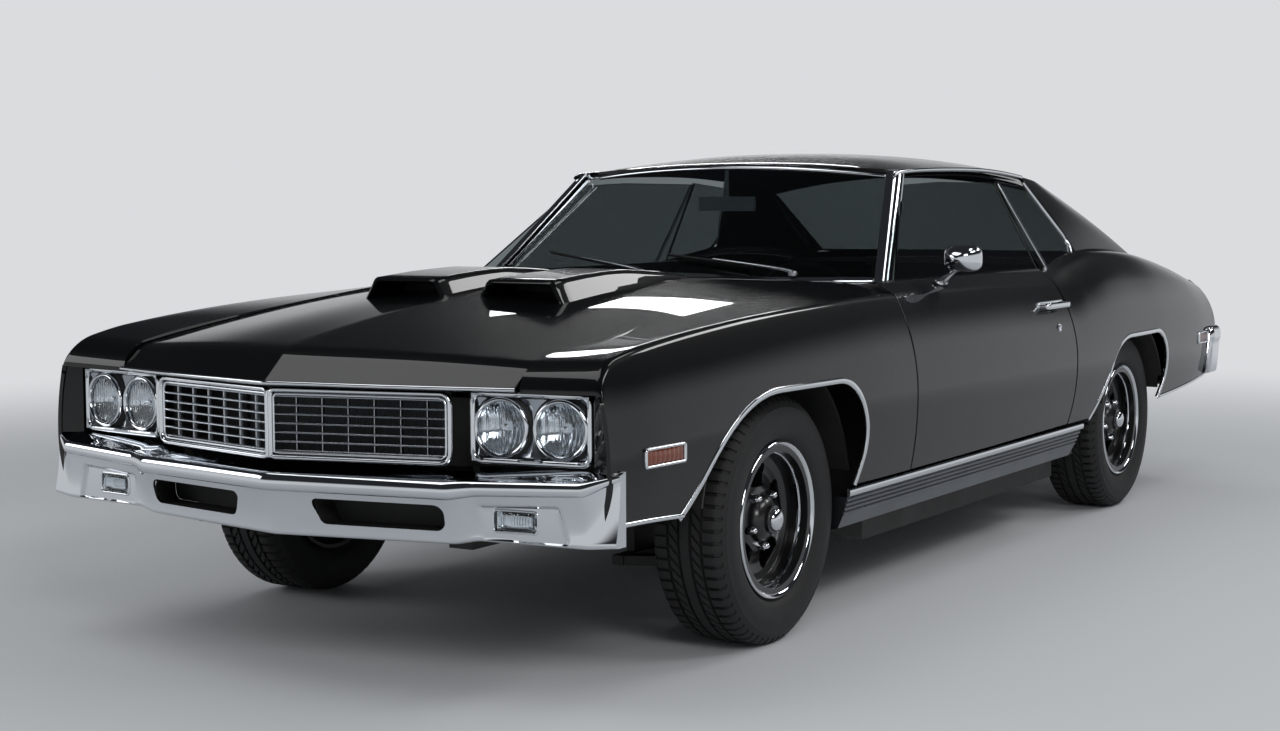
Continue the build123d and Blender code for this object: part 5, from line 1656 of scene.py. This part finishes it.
    def wipers(self) -> None:
        """Two wiper arms and blades parked along the glass."""
        arms, blades = Shell(), Shell()
        for pivot_y, tip_y in ((470.0, 30.0), (-20.0, -480.0)):
            y = np.linspace(pivot_y, tip_y, 24)
            lift = np.linspace(0, 1, 24)
            base_x = 775 - 215 * (y / 706)**2
            share = 0.03 + 0.15 * lift**0.8
            line = points_of(base_x * (1 - share) + (252 - 64 * (y / 580)**2) * share + 14, y,
                936 * (1 - share) + 1292 * share + 16)
            arms.join(sweep(line[:15], (0.7, 0, 0.7), half_round(9, 3), scale=np.linspace(1.3, 0.7, 15)))
            blades.join(sweep(line[7:] - (6, 0, 7), (0.7, 0, 0.7),
                    [(-1.5, -6), (-3.5, 1), (-2.5, 4), (2.5, 4), (3.5, 1), (1.5, -6)]))
            cap = lathe([(14, 0), (14, 10), (10, 15), (0.5, 16)], 32).moved(lambda p: p[:, (0, 2, 1)]
                    * (1, -1, 1))
            arms.join(cap.moved(lambda p: p + line[0] - (0, 0, 14)))
        piece("wiper_arms", arms, BRIGHT, "body", ["wipers"])
        piece("wiper_blades", blades, SEAL_AND_SHADE)


@dataclass
class Nose:
    """Radiator and its support behind the grille."""
    wall_x: float = 2236.0
    wall_thick: float = 26.0

    def build(self) -> None:
        """Makes the support frame, the aprons and the finned core."""
        ahead = (1.0, 0.0, 0.0)
        support = Shell()
        for wide, high, y, z in ((858, 30, 0, 728), (858, 10, 0, 432), (262, 160, 596, 590),
                (262, 160, -596, 590)):
            support.join(facing(boss(frame_corners(wide, high, 8), self.wall_thick, 4), (self.wall_x, y, z),
                    ahead))
        for wide, high, deep, y, z in ((11, 92, 116, 481, 652), (172, 19, 82, 665, 720),
                (172, 14, 82, 665, 575), (34, 26, 228, 412, 505)):
            post = facing(boss(frame_corners(wide, high, 4), deep, 3), (self.wall_x + 18, y, z), ahead)
            support.join(post.both())
        piece("radiator_supports", support, CHASSIS, "body", ["radiator_support"])
        apron = boss(frame_corners(150, 140, 30), 6, 3)
        piece("inner_aprons", facing(apron, (2085, 742, 565), (0, 1, 0)).both(), CHASSIS)
        core = ribbed(668, 262, 9.0, 5.0, 0.0, 14.0)
        piece("radiator_core", facing(core, (self.wall_x + 14, 0, 572), ahead), CAST)


@dataclass
class Tail:
    """Rear bumper, tail lamps, blank plate and exhaust tips."""
    lamp_centre: Place = (-2513.0, 560.0, 715.0)
    lamp_half: tuple[float, float] = (180.0, 55.0)
    plate_centre: Place = (-2505.0, 0.0, 718.0)
    pipe_y: float = 330.0
    pipe_z: float = 189.0

    def build(self) -> None:
        """Makes the tail's pieces."""
        self.bumper()
        back = (-1.0, 0.0, 0.0)
        wide, high = self.lamp_half
        frame = frame_strip(frame_corners(wide - 6, high - 6, 10), 13, 9)
        for share in (-1 / 3, 1 / 3):
            y = share * (wide - 6)
            path = np.array([(2.0, y, -high + 10), (2.0, y, high - 10)])
            frame.join(sweep(path, (1, 0, 0), half_round(8, 6)))
        piece("tail_lamp_frames", facing(frame, self.lamp_centre, back).both(), CHROME)
        lens = ribbed(2 * wide - 22, 2 * high - 22, 12.0, 2.2, 5.0, 8.0)
        piece("tail_lamp_lenses", facing(lens, self.lamp_centre, back).both(), RED, "body", ["tail_lamps"])
        plate = boss(frame_corners(150, 64, 10), 2.5, 1.0)
        border = frame_strip(frame_corners(143, 57, 8), 5, 1.5).moved(lambda p: p + (2.2, 0, 0))
        piece("blank_plate", facing(plate.join(border), self.plate_centre, back), SILVER)
        bolts = Shell()
        for y in (-88.9, 88.9):
            head = lathe([(7, 0), (7, 2.5), (5, 4.5), (0.5, 5)], 24).moved(lambda p: p[:, (1, 0, 2)]
                    * (-1, 1, 1))
            bolts.join(head.moved(lambda p: p + (-2507.0, y, 740.0)).turned_out((-2490.0, y, 740.0)))
        piece("plate_bolts", bolts, CHROME)
        tube = [(25.5, 90.0), (30.0, 90.0), (30.5, 4.0), (29.5, 0.5), (28.0, 0.0), (26.5, 1.5),
                (26.0, 80.0), (0.5, 80.0)]
        tip = lathe(tube, 48).moved(lambda p: p[:, (1, 0, 2)] + (-2482.0, self.pipe_y, self.pipe_z))
        piece("exhaust_tips", tip.both(), CHROME)
        z = np.linspace(600, 828, 16)
        x = np.full(16, -2478.0)
        outer = points_of(x, SIDE.skin_y(x, z) - 3, z)
        inner = points_of(x - 4, np.interp(z, (600, 800, 828), (780, 780, 690)), z)
        piece("tail_returns", Shell().grid(between(outer, inner, 6)).turned_out((-2300, 700, 700)).both(),
                PAINT, hem=Hem(8.0, 1.0))

    def bumper(self) -> None:
        """Wrapped rear bar with a rounded upper roll."""
        flat = rounded([(-2584.6, -1, 0), (-2577, 450, 900), (-2541, 820, 200), (-2466, 926, 60),
                (-2334, 929, 0)], 120)
        path = points_of(flat[:, 0], flat[:, 1], 540.0)
        path[0, 1] = 0.0
        along = np.gradient(path, axis=0)
        out = points_of(-along[:, 1], along[:, 0], 0.0)
        profile = [(-100, -50), (-100, -24), (-97, -19), (-90, -16), (-60, -12), (-20, -9), (22, -7),
                (34, -6), (38, -4), (48, -1), (62, 0), (78, -2), (92, -9), (98, -18), (100, -30),
                (100, -50)]
        bar = sweep(path, out, profile)
        bar.faces = [face for face in bar.faces if len(face) == 4
                or min(bar.points[i][1] for i in face) > 100]
        piece("rear_bumper_bar", bar.turned_out((-2450, 300, 540)).both(), CHROME, "body", ["rear_bumper"],
                weld=0.6)


def pad(deep: float, wide: float, tall: float, crown: float, channels: int, stitch: float = 6.0) -> Shell:
    """Sewn cushion about its middle, crowned and drawn in at the seams.

    Args:
        deep: Thickness.
        wide: Width across.
        tall: Length up.
        crown: Extra rise of the face.
        channels: Number of sewn channels across the face.
        stitch: Depth of the channel seams.

    Returns:
        A closed shell that faces out along x.
    """
    u = np.linspace(-1, 1, 61 if channels else 33)
    v = np.linspace(-1, 1, 41 if channels else 25)
    a, b = np.meshgrid(u, v, indexing="ij")
    y = wide / 2 * a * np.sqrt(1 - 0.10 * b**2) * (1 - 0.018 * (1 - b**2))
    z = tall / 2 * b * np.sqrt(1 - 0.10 * a**2) * (1 - 0.018 * (1 - a**2))
    rim = ((1 - a**10) * (1 - b**10)) ** 0.42
    face = deep / 2 * rim + crown * (1 - a**2) * (1 - b**2)
    if channels:
        sewn = np.clip(1.02 - (np.abs(a) / 0.86)**14, 0, 1) * np.clip(1.02 - (np.abs(b) / 0.84)**14, 0, 1)
        wave = np.abs(np.sin(math.pi * (a / 0.86 + 1) / 2 * channels))
        face -= stitch * sewn * (1 - wave ** 0.5)
        border = np.exp(-(((np.abs(a) - 0.86) * wide / 2 / 5)**2)) + np.exp(-(((np.abs(b) - 0.84) * tall
                / 2 / 5)**2))
        face -= stitch * np.clip(border, 0, 1) * (np.abs(a) < 0.88) * (np.abs(b) < 0.86)
    back = -deep / 2 * rim
    made = Shell().grid(points_of(face, y, z))
    made.join(Shell().grid(points_of(back, y, z)[::-1]))
    return made


@dataclass
class Cabin:
    """Seats, carpet, headliner, dials and door trims."""
    seat_y: float = 415.0
    seat_x: float = -262.0
    seat_width: float = 486.0
    back_lean: float = 17.3

    def build(self) -> None:
        """Makes everything seen through the glass."""
        self.front_seats()
        self.rear_seat()
        self.linings()
        self.dials()
        self.wheel()
        self.door_cards()

    def front_seats(self) -> None:
        """Two bucket seats with sewn channels and side bolsters."""
        x = self.seat_x
        lean = math.radians(self.back_lean)
        back_out = np.array((math.cos(lean), 0, math.sin(lean)))
        back_up = np.array((-math.sin(lean), 0, math.cos(lean)))
        seat_out = np.array((-0.075, 0, 0.997))
        seat_up = np.array((0.997, 0, 0.075))
        mid_back = np.array((x - 55, self.seat_y, 712)) - back_out * 58
        mid_seat = np.array((x + 192, self.seat_y, 418))
        stands_for = ["front_seats"]
        for side in SIDES:
            for name, shell, centre, out, up in (
                    ("cushion", pad(130, 370, 396, 6, 6), mid_seat, seat_out, seat_up),
                    ("backrest", pad(100, 370, 560, 6, 6), mid_back, back_out, back_up)):
                made = facing(shell, centre, out, up)
                done = piece(f"seat_{name}_{side}", made.on(side), VINYL, "body", stands_for, weld=0.05)
                stands_for = []
                bolsters = Shell()
                thick, tall = (150, 400) if name == "cushion" else (125, 545)
                for y in (-1, 1):
                    roll = pad(thick, 84, tall, 4, 0)
                    bolsters.join(facing(roll, centre + np.array((0, y * (self.seat_width / 2 - 44), 0))
                            + out * 8, out, up))
                done = piece(f"seat_{name}_bolsters_{side}", bolsters.on(side), VINYL, weld=0.05)
        base = stack([standing(rounded(frame_corners(half, 180, 24), 61, closed=True)[:-1], out) for out,
                half in ((0, 226), (62, 226), (80, 214))])
        piece("seat_bases", facing(base, (x + 110, self.seat_y, 266), (0, 0, 1), (0, 1, 0)).both(), CHASSIS)

    def rear_seat(self) -> None:
        """Bench of two places with sewn channels, and its riser."""
        lean = math.radians(15.5)
        out = np.array((math.cos(lean), 0, math.sin(lean)))
        up = np.array((-math.sin(lean), 0, math.cos(lean)))
        stands_for = ["rear_seat"]
        for side in SIDES:
            cushion = facing(pad(140, 545, 340, 8, 8), (-888, 277, 484), (0.05, 0, 1), (1, 0, -0.05))
            back = facing(pad(78, 545, 345, 8, 8), np.array((-1096, 277, 716)) - out * 36, out, up)
            for name, shell in (("cushion", cushion), ("backrest", back)):
                done = piece(f"rear_seat_{name}_{side}", shell.on(side), VINYL, "body", stands_for,
                        weld=0.05)
                stands_for = []
        riser = boss(frame_corners(552, 96, 20), 14, 6)
        piece("rear_seat_riser", facing(riser, (-738, 0, 364), (1, 0, 0)), CARPET)

    def linings(self) -> None:
        """Headliner, carpet and parcel shelf cover."""
        v = np.linspace(-0.93, 0.93, 31)
        rows = [Roof().point(np.linspace(175 - 40 * w**2, -1150, 40), np.full(40, w)) - (0, 0, 32)
                for w in v]
        piece("headliner", Shell().grid(np.array(rows)).turned_out((-400, 0, 1600)), CLOTH,
                hem=Hem(3.0, 0.5))
        flat = rounded([(-836, 290, 0), (-828, 267, 12), (-166, 267, 20), (-152, 402, 30), (152, 402, 30),
                (166, 267, 20), (828, 267, 12), (836, 290, 0)], 90)
        xs = np.linspace(-815, 780, 6)
        net = np.stack([standing(flat, x) for x in xs])
        piece("carpet", Shell().grid(net).turned_out((0, 0, -400)), CARPET, hem=Hem(3.0, 0.5))
        v = np.linspace(-1, 1, 21)
        xs = np.linspace(-1185, -1780, 16)
        shelf = np.stack([points_of(x, v * 640, 927.0 + 3 * (1 - v**2))
                for x in xs])
        piece("parcel_shelf", Shell().grid(shelf).turned_out((-1400, 0, 400)), CLOTH, hem=Hem(3.0, 0.5))

    def dials(self) -> None:
        """Instrument dials and the bright strip on the dash."""
        out = np.array((-0.98, 0.0, 0.18))
        rims, faces, needles = Shell(), Shell(), Shell()
        for y, z, radius in ((455, 770, 52), (285, 770, 52), (370, 792, 30), (370, 728, 26)):
            centre = np.array((np.interp(z, (640, 860), (440, 400)) - 2, y, z))
            ring = lathe([(radius, -2), (radius + 4, 2), (radius + 3, 9), (radius - 2, 10),
                    (radius - 4, 3)], 36)
            dial = lathe([(radius - 3, 2.0), (radius * 0.5, 2.4), (0.5, 2.5)], 36)
            for shell, target in ((ring, rims), (dial, faces)):
                target.join(facing(shell.moved(lambda p: p[:, (1, 0, 2)], flip=True), centre,
                        out).turned_out(tuple(centre - out * 60)))
            line = np.array([(4.5, 0, -6), (4.5, radius * 0.45, radius * 0.5)])
            needles.join(facing(sweep(line, (1, 0, 0), half_round(2.5, 1.0)), centre, out))
        piece("dial_rims", rims, CHROME, hem=Hem(1.0, 0.2))
        piece("dial_faces", faces, SEAL_AND_SHADE, hem=Hem(1.0, 0.2))
        piece("dial_needles", needles, RED)
        strip = boss(frame_corners(330, 30, 8), 4, 1.5)
        piece("dash_strip", facing(strip, (417, -190, 766), out), BRIGHT)

    def wheel(self) -> None:
        """Grip, spokes and horn pad of the steering wheel."""
        centre = np.array((330.0, 370.0, 808.0))
        tilt = math.radians(118.0)
        axis = np.array((math.sin(tilt), 0, math.cos(tilt)))
        turn = np.linspace(0, math.tau, 96, endpoint=False)
        rim = points_of(0.0, 185 * np.cos(turn), 185 * np.sin(turn))
        beads = 1 + 0.05 * np.cos(24 * turn)
        grip = sweep(rim, (1, 0, 0), disc(12.0, 16), closed=True, scale=beads)
        hub = lathe([(40, -18), (42, 0), (40, 14), (30, 20), (0.5, 23)],
                48).moved(lambda p: p[:, (1, 0, 2)] * (-1, 1, 1))
        spokes = Shell()
        for k in (-1, 0, 1):
            angle = math.radians(-90 + 115 * k)
            path = np.array([(0, r * math.cos(angle), r * math.sin(angle))
                    for r in np.linspace(34, 180, 12)])
            spokes.join(sweep(path, (1, 0, 0), [(-13, -2.5), (-13, 2.5), (13, 2.5), (13, -2.5)],
                    scale=np.linspace(1.2, 0.8, 12)))
        for name, shell, finish, stands_for in (("steering_grip", grip, VINYL, ["steering_wheel"]),
                ("horn_pad", hub, VINYL, []), ("steering_spokes", spokes, BRIGHT, [])):
            piece(name, facing(shell, centre, axis).turned_out(tuple(centre)), finish, "steering_wheel",
                    stands_for)

    def door_cards(self) -> None:
        """Door trims with arm rests and window winders."""
        card = boss([(-480, -190, 40), (470, -190, 40), (520, 190, 40), (-520, 190, 40)], 9, 4, 3)
        card = facing(card, (80, 753, 700), (0, -1, 0))
        rest = facing(pad(62, 420, 74, 6, 0), (-30, 726, 690), (0, -1, 0.1))
        crank = sweep(np.array([(300, 738, 640), (300, 728, 640), (345, 726, 676), (345, 712, 676)], float),
                (0, 0, 1), disc(7.0, 12))
        for side in SIDES:
            body = "door_" + side
            piece("door_card_" + side, card.on(side), VINYL, body)
            done = piece("arm_rest_" + side, rest.on(side), VINYL, body, weld=0.05)
            piece("window_winder_" + side, crank.on(side), CHROME, body)


@dataclass
class Studio:
    """Pale floor, soft light and the camera."""
    eye: Place = (6.315, 3.353, 1.193)
    bearing: float = 31.36
    fall: float = 4.71
    roll: float = -0.19
    lens: float = 57.6
    backdrop: str = "#DADCDE"
    ceiling: str = "#2A2C2F"
    dusk: tuple[float, float] = (0.11, 0.26)
    fade: tuple[float, float] = (3.0, 8.0)

    def build(self) -> None:
        """Makes the floor, the lamps, the sky and the camera."""
        self.floor()
        self.sky()
        self.lamps()
        self.camera()
        bpy.context.scene.view_settings.view_transform = "Standard"

    def floor(self) -> None:
        """Wide pale floor that fades into the surround far from the car."""
        mesh = bpy.data.meshes.new("floor")
        reach = 60.0
        mesh.from_pydata([(-reach, -reach, 0), (reach, -reach, 0), (reach, reach, 0), (-reach, reach, 0)],
                [], [(0, 1, 2, 3)])
        made = bpy.data.objects.new("floor", mesh)
        bpy.context.scene.collection.objects.link(made)
        stage = Finish("studio_floor", "#C9CBCD", "#C6C8CA", 0.6, 0.04, patch_mm=3000.0,
                specular=0.2).material()
        tree = stage.node_tree
        out = next(n for n in tree.nodes if n.type == "OUTPUT_MATERIAL")
        ground = out.inputs["Surface"].links[0].from_socket
        place = add_node(tree, "ShaderNodeTexCoord").outputs["Object"]
        far = add_node(tree, "ShaderNodeVectorMath", {"operation": "LENGTH"}, {0: place})
        fade = add_node(tree, "ShaderNodeMapRange",
                {"interpolation_type": "SMOOTHSTEP", "From Min": self.fade[0], "From Max": self.fade[1]},
                {"Value": far.outputs["Value"]})
        haze = add_node(tree, "ShaderNodeEmission", {"Color": linear(self.backdrop), "Strength": 1.0})
        share = add_node(tree, "ShaderNodeMath", {"operation": "MULTIPLY"},
                {0: fade.outputs[0], 1: self.seen(tree)})
        mixed = add_node(tree, "ShaderNodeMixShader", {},
                {0: share.outputs[0], 1: ground, 2: haze.outputs[0]})
        tree.links.new(mixed.outputs[0], out.inputs["Surface"])
        mesh.materials.append(stage)

    def seen(self, tree: bpy.types.NodeTree) -> bpy.types.NodeSocket:
        """Adds a mask that is 1 where the surround is looked at, and 0 where it would light something.

        Args:
            tree: Node tree that takes the nodes.

        Returns:
            Socket with the mask.
        """
        path = add_node(tree, "ShaderNodeLightPath").outputs
        total = add_node(tree, "ShaderNodeMath", {"operation": "ADD"},
                {0: path["Is Camera Ray"], 1: path["Is Glossy Ray"]})
        return add_node(tree, "ShaderNodeMath", {"operation": "ADD", "use_clamp": True},
                {0: total.outputs[0], 1: path["Is Transmission Ray"]}).outputs[0]

    def sky(self) -> None:
        """Pale low surround that darkens overhead, as a studio with a dark ceiling."""
        world = bpy.data.worlds.new("studio_surround")
        bpy.context.scene.world = world
        world.use_nodes = True
        tree = world.node_tree
        tree.nodes.clear()
        way = add_node(tree, "ShaderNodeTexCoord").outputs["Generated"]
        height = add_node(tree, "ShaderNodeSeparateXYZ", {}, {0: way}).outputs["Z"]
        rise = add_node(tree, "ShaderNodeMapRange",
                {"interpolation_type": "SMOOTHSTEP", "From Min": self.dusk[0], "From Max": self.dusk[1]},
                {"Value": height})
        tint = add_node(tree, "ShaderNodeMix", {"data_type": "RGBA", 6: linear(self.backdrop),
                7: linear(self.ceiling)}, {0: rise.outputs[0]})
        shown = add_node(tree, "ShaderNodeBackground", {"Strength": 1.0}, {"Color": tint.outputs[2]})
        dim = add_node(tree, "ShaderNodeBackground", {"Color": linear("#C4C8CC"), "Strength": 0.62})
        mixed = add_node(tree, "ShaderNodeMixShader", {}, {0: self.seen(tree), 1: dim.outputs[0],
                2: shown.outputs[0]})
        add_node(tree, "ShaderNodeOutputWorld", {}, {"Surface": mixed.outputs[0]})

    def lamps(self) -> None:
        """Large soft lamps above and beside the car."""
        table = (("front_left", (5.6, 4.6, 3.6), (1.2, 0.3, 0.6), 2.4, 1.8, 110.0),
            ("over_nose", (3.0, -1.0, 4.4), (2.2, 0.0, 0.6), 2.2, 2.0, 30.0),
            ("over_pillar", (-0.4, 1.7, 4.4), (0.3, 0.6, 1.0), 1.8, 0.7, 14.0),
            ("front_right", (5.0, -5.0, 2.8), (1.5, 0.0, 0.6), 3.0, 2.0, 60.0),
            ("left_high", (0.2, 4.6, 4.4), (0.2, 0.5, 0.8), 2.6, 1.0, 60.0),
            ("rear_left_high", (-4.9, 3.4, 5.0), (0.0, 0.3, 0.8), 3.4, 1.2, 100.0),
            ("rear_right", (-5.5, -3.6, 3.6), (-0.5, 0.0, 0.8), 2.6, 0.45, 40.0))
        for name, place, target, width, depth, power in table:
            lamp = bpy.data.lights.new(name, "AREA")
            lamp.shape = "RECTANGLE"
            lamp.size, lamp.size_y, lamp.energy = width, depth, power
            made = bpy.data.objects.new(name, lamp)
            made.location = place
            made.rotation_euler = (Vector(target) - Vector(place)).to_track_quat("-Z", "Y").to_euler()
            bpy.context.scene.collection.objects.link(made)

    def camera(self) -> None:
        """Camera at the photograph's viewing angle."""
        data = bpy.data.cameras.new("camera")
        data.lens, data.sensor_width, data.sensor_fit = self.lens, 36.0, "HORIZONTAL"
        data.clip_end = 200.0
        made = bpy.data.objects.new("camera", data)
        az, el, roll = (math.radians(v) for v in (self.bearing, self.fall, self.roll))
        ahead = Vector((-math.cos(az) * math.cos(el), -math.sin(az) * math.cos(el), -math.sin(el)))
        across = ahead.cross(Vector((0, 0, 1))).normalized()
        upward = across.cross(ahead)
        right = across * math.cos(roll) + upward * math.sin(roll)
        up = upward * math.cos(roll) - across * math.sin(roll)
        made.matrix_world = Matrix.Translation(self.eye) @ Matrix((right, up, -ahead)).transposed().to_4x4()
        bpy.context.scene.collection.objects.link(made)
        bpy.context.scene.camera = made


NODE_FINISHES = {
    CHASSIS: ("frame_rails", "cross_members", "wheelhouses", "floor_pan", "control_arms", "rear_axle",
              "fuel_tank", "firewall", "knuckle_left", "knuckle_right"),
    PAINT: ("tail_panel", "rear_deck"),
    BRIGHT: ("cabin_mirror",),
    GLASS: ("quarter_windows", "door_window_left", "door_window_right"),
    CAST: ("drivetrain",),
    PIPE: ("exhaust",),
    VINYL: ("dashboard",),
}


def dress_nodes() -> None:
    """Gives every frame node that stays its finish."""
    for finish, names in NODE_FINISHES.items():
        for name in names:
            mesh = frame["nodes"][name].data
            mesh.materials.clear()
            mesh.materials.append(finish.material())


def main() -> None:
    """Builds every sub-assembly in order."""
    logging.basicConfig(level=logging.INFO, format="%(message)s")
    Studio().build()
    dress_nodes()
    for assembly in (SidePanels(), Hood(), Roof(), Windows(), Deck(), FrontBumper(), Grille(), Headlamps(),
            Wheels(), Trim(), Nose(), Tail(), Cabin()):
        assembly.build()


if __name__ == "__main__":
    main()
